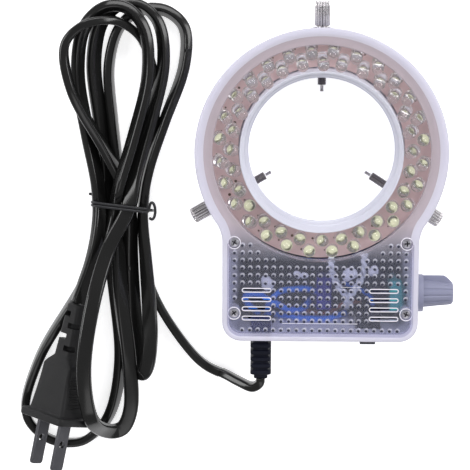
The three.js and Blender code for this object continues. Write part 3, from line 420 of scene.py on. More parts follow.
def arc_points(centre, radius, start, end, count):
    """Points along an arc, from one angle to the other in radians, without the last one."""
    turn = np.linspace(start, end, count, endpoint=False)
    return np.stack([centre[0] + radius * np.cos(turn), centre[1] + radius * np.sin(turn)], axis=1)


def outline(inset):
    """The light's outline drawn in by an inset: bottom edge, corner, side, neck and ring, then mirrored."""
    corner_r = max(CORNER_R - inset, 0.4)
    corner = np.array([BOX_HALF - CORNER_R, CORNER_R - BOX_BOTTOM])
    neck_end = np.arctan2(-NECK_CENTRE[1], -NECK_CENTRE[0])
    ring_start = np.arctan2(NECK_CENTRE[1], NECK_CENTRE[0])
    across = np.linspace(0, corner[0], SIDE_COUNT, endpoint=False)
    bottom = np.stack([across, np.full(SIDE_COUNT, inset - BOX_BOTTOM)], axis=1)
    up = np.linspace(corner[1], NECK_CENTRE[1], SIDE_COUNT, endpoint=False)
    side = np.stack([np.full(SIDE_COUNT, BOX_HALF - inset), up], axis=1)
    half = np.concatenate([
        bottom,
        arc_points(corner, corner_r, -pi / 2, 0, SIDE_COUNT),
        side,
        arc_points(NECK_CENTRE, NECK_R + inset, pi, neck_end, NECK_COUNT),
        arc_points((0, 0), RING_R - inset, ring_start, pi / 2, RING_COUNT),
    ])
    top = np.array([[0, RING_R - inset]])
    mirrored = half[:0:-1] * [-1, 1]
    return np.concatenate([half, top, mirrored])


LOOP_TURNS = np.arctan2(*outline(0).T[::-1])


def circle(radius):
    """A circle round the ring's middle, with its points at the same turns as the outline's."""
    return radius * np.stack([np.cos(LOOP_TURNS), np.sin(LOOP_TURNS)], axis=1)


def shell_grid(profile):
    """Rows for a shell. A step of the profile is ("outline", inset, z) or ("circle", radius, z)."""
    rows = [(outline if kind == "outline" else circle)(size) for kind, size, _ in profile]
    return np.stack([at_height(row, z) for row, (_, _, z) in zip(rows, profile)])


def draft(z):
    """How far the walls lean in at a height: all of it where the light stands, and nothing at its top."""
    return WALL_LEAN * (LIGHT_HEIGHT - z) / LIGHT_HEIGHT


print("points round the outline:", len(LOOP_TURNS))

# %% [markdown]
# The back shell is one closed surface. Its profile runs from the socket's mouth under the light, out to
# the edge, up the wall, down inside, across the floor, and up the tube that carries the lamp board. The
# tube ends in a thin collar with a stepped lip, which is what shows as fine circles inside the ring.

# %% Back shell
WALL, FLOOR_T, SHELL_TOP = 2.2, 2.0, 25.5
TUBE_R, SOCKET_R, COLLAR_R, BORE_R = 36.9, 34.8, 34.1, 30.4
SHOULDER_Z, COLLAR_TOP = 16.1, 27.0
shell_profile = [
    ("circle", SOCKET_R, 0), ("circle", TUBE_R - 1, 0),
    ("outline", draft(0) + 0.8, 0), ("outline", draft(0) + 0.25, 0.25), ("outline", draft(0.8), 0.8),
    ("outline", draft(13), 13), ("outline", draft(SHELL_TOP), SHELL_TOP),
    ("outline", draft(SHELL_TOP) + WALL, SHELL_TOP), ("outline", draft(13) + WALL, 13),
    ("outline", draft(FLOOR_T) + WALL, FLOOR_T),
    ("circle", TUBE_R, FLOOR_T), ("circle", TUBE_R, SHOULDER_Z),
    ("circle", COLLAR_R, SHOULDER_Z), ("circle", COLLAR_R, COLLAR_TOP),
    ("circle", COLLAR_R - 0.7, COLLAR_TOP), ("circle", 32.2, 22.3), ("circle", 31.7, 22.3),
    ("circle", 30.9, 20.7), ("circle", BORE_R, 20.5), ("circle", BORE_R, 19.0),
    ("circle", 32.2, 13.6), ("circle", SOCKET_R, 13.6),
]
back_shell = part_from_grids("back_shell_skin", [shell_grid(shell_profile)], white_abs,
                             ring=True)
soften(back_shell, 0.25)


def rod_grid(axis_point, direction, profile, count=32):
    """A turned piece on any line. Each (radius, distance) of the profile is a loop square to the line."""
    along = unit(np.asarray(direction, dtype=float))
    side = unit(np.cross(along, [0, 0, 1] if abs(along[2]) < 0.9 else [0, 1, 0]))
    other = np.cross(along, side)
    turn = full_turn(count)[None, :, None]
    radius, distance = (np.array(v)[:, None, None] for v in zip(*profile))
    return np.asarray(axis_point) + distance * along + radius * (np.cos(turn) * side + np.sin(turn) * other)


def block_grid(low, high, corner=0.3):
    """A block with its upright edges rounded, as loops from its lower face's middle to its upper one's."""
    low, high = np.asarray(low, dtype=float), np.asarray(high, dtype=float)
    middle, half = (low + high) / 2, (high - low) / 2
    ring = rounded_rectangle(half[0], half[1], corner, 4)
    small = rounded_rectangle(half[0] - corner / 2, half[1] - corner / 2, corner, 4)
    steps = [(small * 0, low[2]), (small, low[2]), (ring, low[2] + corner / 2),
             (ring, high[2] - corner / 2), (small, high[2]), (small * 0, high[2])]
    return np.stack([at_height(xy + middle[:2], z) for xy, z in steps])


def rounded_rectangle(half_x, half_y, corner, count):
    """A rectangle with rounded corners: a quarter arc of count + 1 points at each corner."""
    corner = min(corner, half_x * 0.98, half_y * 0.98)
    quarter = np.linspace(0, pi / 2, count + 1)
    turns = np.concatenate([quarter + k * pi / 2 for k in range(4)])
    signs = np.repeat([[1, 1], [-1, 1], [-1, -1], [1, -1]], count + 1, axis=0)
    middle = signs * [half_x - corner, half_y - corner]
    return middle + corner * np.stack([np.cos(turns), np.sin(turns)], axis=1)


def rectangle_loops(steps):
    """Rounded rectangles in a row. Each step is (half width, half height, corner, place in the row)."""
    return np.stack([at_height(rounded_rectangle(*sizes, 6), place) for *sizes, place in steps])


SCREW_WAYS = [(cos(turn), sin(turn), 0) for turn in map(radians, (90, 210.5, 327))]
SCREW_Z = 6.0
KNOB_Y, CONTROL_Z = -62.3, 14.5
SWITCH_X, GLAND_X, GLAND_Z = 20.3, -24.8, 13.0
round_holes = [rod_grid((34, KNOB_Y, CONTROL_Z), (1, 0, 0), [(0, 0), (4.7, 0), (4.7, 9), (0, 9)])]
for way in SCREW_WAYS:
    for radius, near, far in ((3.5, 40, 60), (2.2, 31, 41)):
        bore = [(0, near), (radius, near), (radius, far), (0, far)]
        round_holes.append(rod_grid((0, 0, SCREW_Z), way, bore))
cut_out(back_shell, round_holes)
cut_out(back_shell, [
    block_grid((x - half_x, -82, z - half_z), (x + half_x, -71, z + half_z))
    for x, z, half_x, half_z in ((SWITCH_X, CONTROL_Z, 5.5, 7.9), (GLAND_X, GLAND_Z, 3.6, 3.6))
])
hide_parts("back_shell")

# %% [markdown]
# Round bosses hold the brass inserts of the thumb screws, and four posts carry the cover's screws. They
# are moulded with the shell, so they have its plastic, and they show a little through the vents.

# %% Bosses and posts
boss_profile = [(3.5, 36), (4.7, 36), (4.7, 49), (3.5, 49)]
boss_grids = [rod_grid((0, 0, SCREW_Z), way, boss_profile) for way in SCREW_WAYS]
part_from_grids("insert_bosses", boss_grids, white_abs, ring=True)
SCREW_PLACES = [(x, y) for y in (-38.0, -68.3) for x in (-36.0, 36.0)]
post_grids = [
    rod_grid((x, y, 0), (0, 0, 1), [(1.3, 21.4), (2.2, 21.4), (2.6, 21.8), (2.6, 25.4), (1.3, 25.4)], 20)
    for x, y in SCREW_PLACES
]
part_from_grids("cover_posts", post_grids, white_abs, ring=True)

# %% [markdown]
# The cover is a shallow tray turned upside down: a skirt, a flat rim, a slope down to the plate, and a
# round hole for the lamps with a small lip below it. Frosted plastic this thin shows dark things behind
# it as soft grey-blue shapes, so its shader is partly diffuse white and partly rough, see-through plastic.
# Its edge is thicker and whiter: faces close to the outline get the rim's own finish.

# %% Cover
PLATE_TOP, PLATE_BOTTOM, COVER_BOTTOM, LAMP_HOLE_R = 29.0, 27.0, 25.8, 45.3
cover_profile = [
    ("outline", draft(COVER_BOTTOM), COVER_BOTTOM), ("outline", 0.05, 29.45), ("outline", 0.15, 29.8),
    ("outline", 0.5, 30), ("outline", 2.1, 30), ("outline", 3.7, PLATE_TOP),
    ("circle", LAMP_HOLE_R + 0.4, PLATE_TOP), ("circle", LAMP_HOLE_R, PLATE_TOP - 0.35),
    ("circle", LAMP_HOLE_R, COVER_BOTTOM), ("circle", LAMP_HOLE_R + 1.1, COVER_BOTTOM),
    ("circle", LAMP_HOLE_R + 1.1, PLATE_BOTTOM), ("outline", draft(PLATE_BOTTOM) + WALL, PLATE_BOTTOM),
    ("outline", draft(COVER_BOTTOM) + WALL, COVER_BOTTOM),
]
cover = part_from_grids("front_cover_skin", [shell_grid(cover_profile)], frosted_cover,
                        ring=True)
VENTS = [(x, -58.3 - 4 * row) for x in (-26.6, 26.6) for row in range(4)]
cut_out(cover, [block_grid((x - 5.8, y - 0.62, 24), (x + 5.8, y + 0.62, 31), 0.6) for x, y in VENTS])
counterbore = [(0, 24), (1.35, 24), (1.35, 27.6), (2.4, 27.6), (2.4, 31), (0, 31)]
cut_out(cover, [rod_grid((x, y, 0), (0, 0, 1), counterbore) for x, y in SCREW_PLACES])
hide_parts("front_cover")

EDGE_STEPS, BOX_RIM_WIDTH, RING_RIM_WIDTH = 6, 2.3, 3.6
edge = outline(0)
to_next = np.roll(edge, -1, axis=0) - edge
edge_points = np.concatenate([edge + to_next * k / EDGE_STEPS for k in range(EDGE_STEPS)])
edge_tree = KDTree(len(edge_points))
for k, point in enumerate(edge_points):
    edge_tree.insert((*point, 0), k)
edge_tree.balance()


def on_rim(points):
    """Whether points lie in a band along the outline. The band narrows from the ring to the box."""
    inset = np.array([edge_tree.find((x, y, 0))[2] for x, y, _ in points])
    return inset < np.interp(points[:, 1], [HAZE_FROM_Y, HAZE_FULL_Y], [BOX_RIM_WIDTH, RING_RIM_WIDTH])


give_second_material(cover, frosted_rim, on_rim)
part_from_grids("cover_tab", [block_grid((-7, 45.9, 23.4), (10, 47.9, 26.9), 0.5)], frosted_cover)

# %% [markdown]
# 183 small pips dress the cover over the box. Each is a low round dome with a dark spot of painted shade off
# its middle, which stands for the dark inside seen through the dome, so what is left of the dome shows as a
# pale crescent. They stand on a grid 3.25 mm apart, with the last row a little further off. The rows leave
# out what the ring's arc, the screws and the vents would cut.

# %% Pips and raised rims of the vents
PIP_PITCH, FIRST_PIP_Y, LAST_PIP_Y = 3.25, -38.8, -75.2
PIP_COLUMNS = PIP_PITCH * np.arange(-11, 12)
pip_rows = [
    {1, 2, 20, 21}, {*range(4), *range(19, 23)}, {*range(6), *range(17, 23)},
    {*range(23)}, {*range(23)}, {*range(23)},
    {0, 22, *range(5, 18)}, {0, 22, *range(5, 18)}, {*range(5, 18)}, {*range(5, 18)}, {*range(5, 18)},
    {*range(1, 22)},
]
pip_profile = [(1.02, -0.1), (1.0, 0.12), (0.92, 0.26), (0.77, 0.4), (0.56, 0.5), (0.3, 0.56), (0, 0.58)]
SPOT_R, SPOT_SHIFT = 0.6, (-0.14, -0.26)
pip_ys = [*(FIRST_PIP_Y - PIP_PITCH * np.arange(len(pip_rows) - 1)), LAST_PIP_Y]
pip_places = [(PIP_COLUMNS[column], y, PLATE_TOP)
              for y, columns in zip(pip_ys, pip_rows) for column in sorted(columns)]
clear_pips = let_lamps_through(moulded(
    "polished_pips", ("#e2e2f0", "#d6d6e8"), 0.2, Transmission_Weight=0.6, IOR=1.4, Coat_Weight=0.6,
    Coat_IOR=1.8, Coat_Roughness=0.15), 0.9)
part_from_grids("cover_pips", [rod_grid(place, (0, 0, 1), pip_profile, 14) for place in pip_places],
                clear_pips, sharp_degrees=60)
# Painted shade: a near-black disc on each pip stands for the dark inside seen through its dome.
painted_pip_shade = moulded("pip_spots_painted_shade", ("#2c2e44", "#222438"), 0.5)


def painted_shade_spot(place):
    """A dark spot of painted shade on a pip: a thin disc off the middle, lifted so that it follows the dome's
    own height.
    """
    radius = SPOT_R * np.array([0, 0.5, 0.8, 1, 1, 0])[:, None]
    lift = np.array([0.03, 0.03, 0.03, 0.02, -0.05, -0.05])[:, None]
    turn = full_turn(14)[None]
    u, v = radius * np.cos(turn) + SPOT_SHIFT[0], radius * np.sin(turn) + SPOT_SHIFT[1]
    reaches, heights = zip(*pip_profile[::-1])
    height = np.interp(np.hypot(u, v), reaches, heights) + lift
    return np.stack([u, v, height], axis=-1) + place


part_from_grids("painted_shade_on_pips", [painted_shade_spot(place) for place in pip_places], painted_pip_shade)


def ring_along(path, radius):
    """A round bead along a closed, level path: a small circle square to the path at each of its points."""
    ahead = unit(np.roll(path, -1, axis=0) - np.roll(path, 1, axis=0))
    side = np.cross(ahead, [0, 0, 1])
    turn = full_turn(8)[None, :, None]
    return path[:, None] + radius * (np.cos(turn) * side[:, None] + np.sin(turn) * np.array([0, 0, 1.0]))


def raised_rim(x, y, half_x, half_y, bead, count):
    """A bead round a vent or a screw, half sunk in the plate. Doubled points of its path are left out."""
    path = at_height(rounded_rectangle(half_x, half_y, half_y, count) + [x, y], PLATE_TOP + 0.05)
    apart = np.linalg.norm(path - np.roll(path, 1, axis=0), axis=1) > 0.01
    return ring_along(path[apart], bead)


vent_rims = [raised_rim(x, y, 5.98, 0.82, 0.24, 8) for x, y in VENTS]
vent_rims += [raised_rim(x, y, 2.58, 2.58, 0.22, 9) for x, y in SCREW_PLACES]
pale_rims = moulded("polished_white_rims", ("#f4f2fa", "#eeeaf6"), 0.18)
part_from_grids("vent_rims", vent_rims, pale_rims, ring=True, sharp_degrees=70)
hairlines = [block_grid((-15.7, -72.6, 28.95), (15.7, -72.35, 29.1), 0.1),
             block_grid((8.5, -56.8, 28.95), (17.2, -56.65, 29.06), 0.06)]
part_from_grids("plate_hairlines", hairlines, pale_rims)

# %% [markdown]
# The lamp board is a flat ring of glass laminate under solder mask, which is pinkish brown here.

# %% Lamp board
BOARD_TOP = 18.0
board_rows = [(34.7, 16.4), (34.7, BOARD_TOP), (40.8, BOARD_TOP), (46.5, BOARD_TOP), (46.5, 16.4)]
board = part_from_grids("lamp_board_ring", [rod_grid((0, 0, 0), (0, 0, 1), board_rows, 180)], pink_mask,
                        ring=True)
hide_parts("led_board")

# %% [markdown]
# Each lamp is a bullet of clear epoxy on a flange. Inside it a bright cup holds a dab of yellow-green
# phosphor, and the dome works as a lens, so the dab fills the lamp when it is seen from its front and
# nearly vanishes when it is seen from its side. Real glass refraction does that here by itself. The
# lamps are soldered by hand, so each leans a little its own way. A seeded generator sets that.

# %% Lamps
clear_epoxy = bpy.data.materials.new("clear_lamp_epoxy")
epoxy_tree = cleared_tree(clear_epoxy)
epoxy_place = add_node(epoxy_tree, "ShaderNodeTexCoord")
epoxy_haze = add_node(epoxy_tree, "ShaderNodeTexNoise", {
    "Vector": epoxy_place.outputs["Object"], "Scale": 1 / (2 * MM), "Detail": 2.0})
epoxy_gloss = add_node(epoxy_tree, "ShaderNodeMapRange", {
    "Value": epoxy_haze.outputs["Fac"], "To Min": 0.02, "To Max": 0.09})
epoxy_shader = add_node(epoxy_tree, "ShaderNodeBsdfPrincipled", {
    "Base Color": linear("#f0eef0"), "Roughness": epoxy_gloss.outputs[0], "Transmission Weight": 0.92,
    "IOR": 1.5})
add_node(epoxy_tree, "ShaderNodeOutputMaterial", {"Surface": epoxy_shader.outputs[0]})
let_lamps_through(clear_epoxy, 0.92)
phosphor = moulded("yellow_phosphor", ("#d6d8b6", "#c9cba6"), 0.6, grain_mm=0.2)
silver_cup = moulded("silvered_lead_frame", ("#d8d6d2", "#c8c4c0"), 0.22, Metallic=1.0)
solder = moulded("solder", ("#b9b2ae", "#a8a09c"), 0.35, Metallic=0.8)
burnt_flux = moulded("burnt_flux", ("#3a2a22", "#5c4434"), 0.4)

LAMPS_PER_ROW, LAMP_LEAN, ROW_RADII = 28, radians(16), (38.45, 43.2)
FOOT_LIFT, FLAT_SIDE, LEG_REACH, LEG_HALF = 2.15, 2.55, 1.27, 0.25
LEAN_SPREAD, YAW_SPREAD = 0.07, 0.08
seeded = np.random.default_rng(7)


def lamp_frames(row):
    """Places and turns of one row: foot points and three axes of each lamp, leaning to the middle."""
    turn = 2 * pi * (np.arange(LAMPS_PER_ROW) + row / 2) / LAMPS_PER_ROW
    foot_r = ROW_RADII[row] + 0.6 * np.clip(np.sin(turn), 0, 1)[:, None]
    outward = np.stack([np.cos(turn), np.sin(turn), 0 * turn], axis=1)
    across = np.stack([-np.sin(turn), np.cos(turn), 0 * turn], axis=1)
    lean = np.clip(seeded.normal(0, LEAN_SPREAD, LAMPS_PER_ROW), -0.12, 0.14)
    lean = LAMP_LEAN + 0.11 * np.sin(turn) + lean
    yaw = np.clip(seeded.normal(0, YAW_SPREAD, LAMPS_PER_ROW), -0.14, 0.14)
    axis = unit(-np.sin(lean)[:, None] * outward + np.sin(yaw)[:, None] * across
                + (np.cos(lean) * np.cos(yaw))[:, None] * np.array([0, 0, 1.0]))
    side = unit(np.cross(across, axis))
    foot = outward * foot_r + [0, 0, BOARD_TOP + FOOT_LIFT]
    return foot, side, np.cross(axis, side), axis


def on_lamps(frames, profile, count, flat_side=False):
    """The same turned profile on every lamp of a row, as one array of grids."""
    foot, side, other, axis = (v[:, None, None, :] for v in frames)
    turn = full_turn(count)[None, None, :, None]
    radius, height = (np.array(v)[None, :, None, None] for v in zip(*profile))
    x, y = radius * np.cos(turn), radius * np.sin(turn)
    if flat_side:
        y = np.minimum(y, FLAT_SIDE)
    return foot + x * side + y * other + height * axis


dome = [(2.5 * cos(t), 6.1 + 2.5 * sin(t)) for t in np.linspace(0, pi / 2, 7)]
bullet = [(0, 0), (2.8, 0), (2.95, 0.15), (2.95, 0.85), (2.8, 1.0), (2.5, 1.05), *dome]
cup = [(0, 3.2), (0.36, 3.2), (0.62, 3.75), (0.8, 3.75), (0.8, 2.6), (0.4, 1.6), (0, 1.6)]
dab = [(0, 3.25), (0.36, 3.25), (0.5, 3.6), (0.38, 3.74), (0, 3.78)]
for row, title in enumerate(["leds_inner_row", "leds_outer_row"]):
    frames = lamp_frames(row)
    bodies = part_from_grids(title + "_epoxy", [on_lamps(frames, bullet, 20, True)], clear_epoxy,
                             sharp_degrees=30)
    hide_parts(title)
    part_from_grids(title + "_cups", [on_lamps(frames, cup, 12)], silver_cup)
    part_from_grids(title + "_phosphor", [on_lamps(frames, dab, 12)], phosphor)
    foot, side, other, axis = frames
    corners = LEG_HALF * np.array([[-1, -1], [1, -1], [1, 1], [-1, 1]])
    square = corners[:, :1] * side[:, None] + corners[:, 1:] * other[:, None]
    legs = []
    for reach in (-LEG_REACH, LEG_REACH):
        start = foot + reach * other
        levels = [start + 2.4 * axis, start, start - [0, 0, 2.5]]
        leg = np.stack([level[:, None] + square for level in levels], axis=1)
        tip, root = (np.repeat(level[:, None, None], 4, axis=2) for level in (levels[0], levels[2]))
        legs.append(np.concatenate([tip, leg, root], axis=1))
    part_from_grids(title + "_legs", legs, silver_cup)
    turn = full_turn(10)[None, None, :]
    for finish, sizes, shift in ((solder, (0, 0.95, 0.8, 0), 1.27), (burnt_flux, (0, 0.62, 0.5, 0), -2.9)):
        spots = foot + shift * other * [1, 1, 0] + 0.5 * seeded.normal(0, 1, foot.shape) * [1, 1, 0]
        radius = np.array(sizes)[None, :, None] * seeded.uniform(0.6, 1.1, (LAMPS_PER_ROW, 1, 1))
        height = np.array([0, 0, 0.07, 0.09])[None, :, None] + BOARD_TOP - 0.01
        pads = np.stack([spots[:, 0, None, None] + radius * np.cos(turn),
                         spots[:, 1, None, None] + radius * np.sin(turn),
                         height + 0 * radius * turn], axis=-1)
        part_from_grids(f"{title}_{finish.name}_spots", [pads], finish)

# %% [markdown]
# What shows through the cover and its vents is the driver: a board on short posts with a film capacitor,
# a can and a chip, and the wires between them. A dark sheet of painted shade lines the box, and it makes
# the inside look deep and dark from above.

# %% Inside the box
# Painted shade: a dark blue-grey sheet lines the box and stands for the shade inside it.
painted_shade_sheet = moulded("box_shade_painted_sheet", ("#2b3050", "#202440"), 0.8, grain_mm=0.4, bump=0.2)
blue_pvc = moulded("blue_wire_insulation", ("#1a70f4", "#2c8cf8"), 0.35)
brown_pvc = moulded("brown_wire_insulation", ("#8a4636", "#9a5240"), 0.35)
white_pvc = moulded("white_wire_insulation", ("#f4f6ff", "#eaeefa"), 0.35)
hot_glue = moulded("translucent_hot_glue", ("#f2f3fc", "#e4e6f4"), 0.3, grain_mm=2)


def shade_sheet_grid(height):
    """The dark tray of painted shade inside the box: its wall stands close to the shell's wall below the
    ring's tube.
    """
    x, low, high = 34.5, -73.0, -41.0
    levels = [(0.0, 2.3), (1.0, 2.3), (1.0, 2.9), (1.0, height), (0.985, height), (0.985, 2.9),
              (0.985, 2.6), (0.0, 2.6)]
    edge = rounded_rectangle(x, (high - low) / 2, 5, 6)
    middle = [0, (high + low) / 2]
    return np.stack([at_height(edge * size + middle, z) for size, z in levels])


part_from_grids("painted_shade_in_box", [shade_sheet_grid(12)], painted_shade_sheet)


def smooth_route(stops, count):
    """Points along a smooth curve through all the stops: cubic pieces, timed by the roots of the chords."""
    stops = np.asarray(stops, dtype=float)
    chord = distances_along(stops, 0.5)
    slopes = np.gradient(stops, chord, axis=0)
    at = np.linspace(0, chord[-1], count)
    piece = np.clip(np.searchsorted(chord, at, side="right") - 1, 0, len(stops) - 2)
    span = (chord[piece + 1] - chord[piece])[:, None]
    t = ((at - chord[piece]) / span[:, 0])[:, None]
    first, second = stops[piece], stops[piece + 1]
    return ((2 * t**3 - 3 * t**2 + 1) * first + (t**3 - 2 * t**2 + t) * span * slopes[piece]
            + (3 * t**2 - 2 * t**3) * second + (t**3 - t**2) * span * slopes[piece + 1])


def tube_grid(path, radius, count=12):
    """A round tube along an open path, with rounded ends. Its sides turn with the path and don't twist."""
    ahead, side, up = axes_along(path, (0.03, 0.05, 1))
    turn = full_turn(count)[None, :, None]
    loops = np.cos(turn) * side[:, None] + np.sin(turn) * up[:, None]
    caps = [(size, 0.8 * (1 - size) ** 0.5) for size in (0, 0.5, 0.87)]
    start = [path[0] + radius * (size * loops[0] - reach * ahead[0]) for size, reach in caps]
    end = [path[-1] + radius * (size * loops[-1] + reach * ahead[-1]) for size, reach in caps[::-1]]
    return np.concatenate([start, path[:, None] + radius * loops, end])


single_wires = [
    ("mains_wire_blue", blue_pvc, "blue_wire", 48, 1.25, [
        (-26, -72, 13), (-30, -68, 15), (-31.5, -64, 16.5), (-26, -62.5, 18), (-20, -66, 18.5),
        (-13, -70, 17), (-7, -71, 12), (-4, -68, 8)]),
    ("upper_blue_wire", blue_pvc, "blue_wire", 48, 1.25, [
        (-22, -72, 12), (-21, -66, 17), (-17, -61.5, 19), (-10, -60.5, 18), (-4, -62, 13), (0, -65, 9)]),
    ("lower_blue_wire", blue_pvc, "blue_wire", 48, 1.25, [
        (-23, -72.5, 13), (-15, -73.5, 15), (-5, -74.3, 16), (4, -74.2, 16), (11, -73, 12)]),
    ("switch_wire_blue", blue_pvc, "blue_wire", 30, 0.8, [
        (22.5, -68.2, 12.6), (21, -64, 13), (15, -61.6, 10), (10.2, -60.6, 7.6)]),
    ("mains_wire_brown", brown_pvc, "brown_wire", 60, 0.8, [
        (-23.2, -71.3, 13), (-19, -69, 13), (-12, -70.8, 12), (3, -72.9, 12.5), (10, -68, 15),
        (17, -67.4, 12.6)]),
]
for title, finish, slot, count, radius, stops in single_wires:
    tube = tube_grid(smooth_route(stops, count), radius)
    wire = part_from_grids(title + "_insulation", [tube], finish)
    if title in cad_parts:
        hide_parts(title)

PAIR_PITCH, PAIR_SPREAD, PAIR_WIRE_R = 6.0, 0.85, 0.75


def twisted_pair(stops):
    """Two wires wound about one route: each is the route plus a small circle that turns once a pitch."""
    line = smooth_route(stops, 90)
    _, side, up = axes_along(line)
    grids = []
    for phase in (0, pi):
        a = (2 * pi * distances_along(line) / PAIR_PITCH + phase)[:, None]
        wound = line + PAIR_SPREAD * (np.cos(a) * side + np.sin(a) * up)
        grids.append(tube_grid(wound, PAIR_WIRE_R, 8))
    return grids


lamp_leads = {
    "led_wire_left": [(4.6, -44.5, 19), (5, -52, 20.5), (8, -58.5, 22), (12.5, -64, 20), (11.5, -69.5, 13),
                      (10, -71, 8.4)],
    "led_wire_right": [(18.5, -44.5, 19), (18.3, -51, 21), (16, -57, 22.5), (12.5, -62.5, 23),
                       (11.6, -67, 17), (11.4, -66, 8.4)],
}
for title, stops in lamp_leads.items():
    lead = part_from_grids(title + "_pair", twisted_pair(stops), white_pvc)
    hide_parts(title)


def blob_grid(middle, radius, seed):
    """A blob of set glue: a flattened ball whose radius wanders by three slow waves."""
    wave = np.random.default_rng(seed).uniform(0, 2 * pi, 3)
    polar, turn = np.meshgrid(np.linspace(0, pi, 11), full_turn(20), indexing="ij")
    size = radius * (1 + 0.12 * np.sin(2 * turn + wave[0]) * np.sin(polar) + 0.08 * np.sin(3 * turn + wave[1])
                     * np.sin(polar) + 0.08 * np.cos(2 * polar + wave[2]))
    return np.asarray(middle) + np.stack([
        size * np.sin(polar) * np.cos(turn), size * np.sin(polar) * np.sin(turn),
        size * 0.7 * np.cos(polar)], axis=-1)


glue_places = [((-22.2, -56.3, 24.2), 3.2), ((-9.5, -52.5, 24.4), 1.7), ((-6.6, -52.8, 24.4), 1.5),
               ((12.2, -52.2, 24), 3.1), ((22.3, -50.7, 24), 2.4)]
part_from_grids("glue_blobs", [blob_grid(place, size, k) for k, (place, size) in enumerate(glue_places)],
                hot_glue, sharp_degrees=80)

# %% [markdown]
# The cover screws are small pan-head screws. The head is a low dome, and its cross recess is pressed in:
# the height drops where a point is close to either of two lines through the middle.

# %% Cover screws
zinc_steel = moulded("zinc_plated_steel", ("#d4d2da", "#b2b0ba"), 0.3, grain_mm=0.3, bump=0.1, Metallic=1.0)
shaded_recess = moulded("shaded_cross_recess", ("#1c1b20", "#2a282e"), 0.6)
HEAD_TOP, RECESS_DEPTH, RECESS_R, ARM_HALF, ARM_EDGE = 29.05, 0.62, 1.3, 0.3, 0.05


def cross_head(x, y, turned):
    """A pan head with a cross recess. Height = dome - depth x (how near the point is to either arm)."""
    radius = np.concatenate([np.linspace(0, 1.0, 9), [1.25, 1.55, 1.8, 1.92, 1.95, 1.95, 0]])[:, None]
    turn = full_turn(48)[None]
    u, v = radius * np.cos(turn + turned), radius * np.sin(turn + turned)
    arm = np.minimum(np.abs(u), np.abs(v)) + np.maximum(radius - 1.0, 0) * 3
    height = HEAD_TOP - 0.11 * radius**2 - RECESS_DEPTH / (1 + np.exp((arm - ARM_HALF) / ARM_EDGE))
    height[-3:] = [[28.3], [27.8], [27.8]]
    return np.stack([x + radius * np.cos(turn), y + radius * np.sin(turn), height], axis=-1)


def in_recess(points):
    """Whether points lie deep in a cross recess: well below a head's top and close to a screw's middle."""
    drop = HEAD_TOP - points[:, 2]
    off = np.min([np.hypot(points[:, 0] - x, points[:, 1] - y) for x, y in SCREW_PLACES], axis=0)
    return (drop > 0.5) & (drop < 0.74) & (off < RECESS_R)


for k, (x, y) in enumerate(SCREW_PLACES):
    title = f"cover_screw_{k + 1}"
    shank = rod_grid((x, y, 0), (0, 0, 1), [(0, 22.9), (0.9, 23.1), (1, 23.4), (1, 27.9), (0, 27.9)], 16)
    screw = part_from_grids(title + "_head", [cross_head(x, y, 0.5 + k)], zinc_steel)
    part_from_grids(title + "_stem", [shank], zinc_steel)
    give_second_material(screw, shaded_recess, in_recess)
    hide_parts(title)

# %% [markdown]
# A thumb screw is turned from brass and nickel plated: a long straight-fluted head, a short neck, an M4
# thread and a thin dog tip. One function of the turn and of the distance along its line gives the whole
# surface. The thread is a helix: its radius falls and rises once in every 0.7 mm and once a turn.

# %% Thumb screws
nickel_plate = moulded("nickel_plate", ("#c9c6c8", "#b5b2b6"), 0.24, grain_mm=0.3, bump=0.05, Metallic=1.0)
# Painted shade: where the shank lies inside the wall and the bore, its thread is a darker grey for the shade
# there.
thread_painted_shade = moulded("nickel_thread_painted_shade", ("#8f8a8c", "#6f6b6e"), 0.34, grain_mm=0.3, bump=0.1,
                      Metallic=1.0)
HEAD_REACHES = {"top": 60.4, "left": 62.6, "right": 60.3}
THREAD_PITCH, THREAD_R, THREAD_DEPTH, FLUTE_DEPTH = 0.7, 1.9, 0.3, 0.6
SHADE_WITHIN, HEAD_TO_TIP = 48, 38.2


def thumb_screw_grid(way, reach):
    """Radius over the turn and the distance from the head's end: flutes on the head, a helix on the shank."""
    turn = full_turn(96)
    head_stops = [(0, 0), (2.5, 0), (3.05, 0.12), (3.3, 0.5), (3.3, 2), (3.3, 5.2), (3.3, 9.9), (3.05, 10.3),
                  (2.4, 10.4), (2.4, 11.3), (THREAD_R, 11.5)]
    thread = np.arange(11.7, 35.2, THREAD_PITCH / 8)
    distance = np.concatenate([[d for _, d in head_stops], thread, [35.25, 35.25]])
    base = np.concatenate([[r for r, _ in head_stops], np.full(len(thread), THREAD_R), [1.5, 0]])
    fluted = ((distance > 0.05) & (distance < 10.38))[:, None]
    waves = np.abs(np.sin(8 * turn))[None] ** 0.7
    flutes = np.where(fluted, FLUTE_DEPTH * (waves - 1), 0) * np.minimum(1, base / 3)[:, None]
    threaded = ((distance > 11.9) & (distance < 35.1))[:, None]
    phase = distance[:, None] / THREAD_PITCH * 2 * pi - turn[None]
    radius = base[:, None] + flutes + np.where(threaded, -THREAD_DEPTH * (0.5 + 0.5 * np.cos(phase)), 0)
    side = np.array([-way[1], way[0], 0])
    along = (reach - distance)[:, None, None]
    return (np.array([0, 0, SCREW_Z]) + along * way + (radius * np.cos(turn))[..., None] * side
            + (radius * np.sin(turn))[..., None] * np.array([0, 0, 1.0]))


def on_shaded_shank(points):
    """Whether points lie on a screw's shank inside the light's wall, where its thread is darkened with
    painted shade.
    """
    return np.hypot(points[:, 0], points[:, 1]) < SHADE_WITHIN


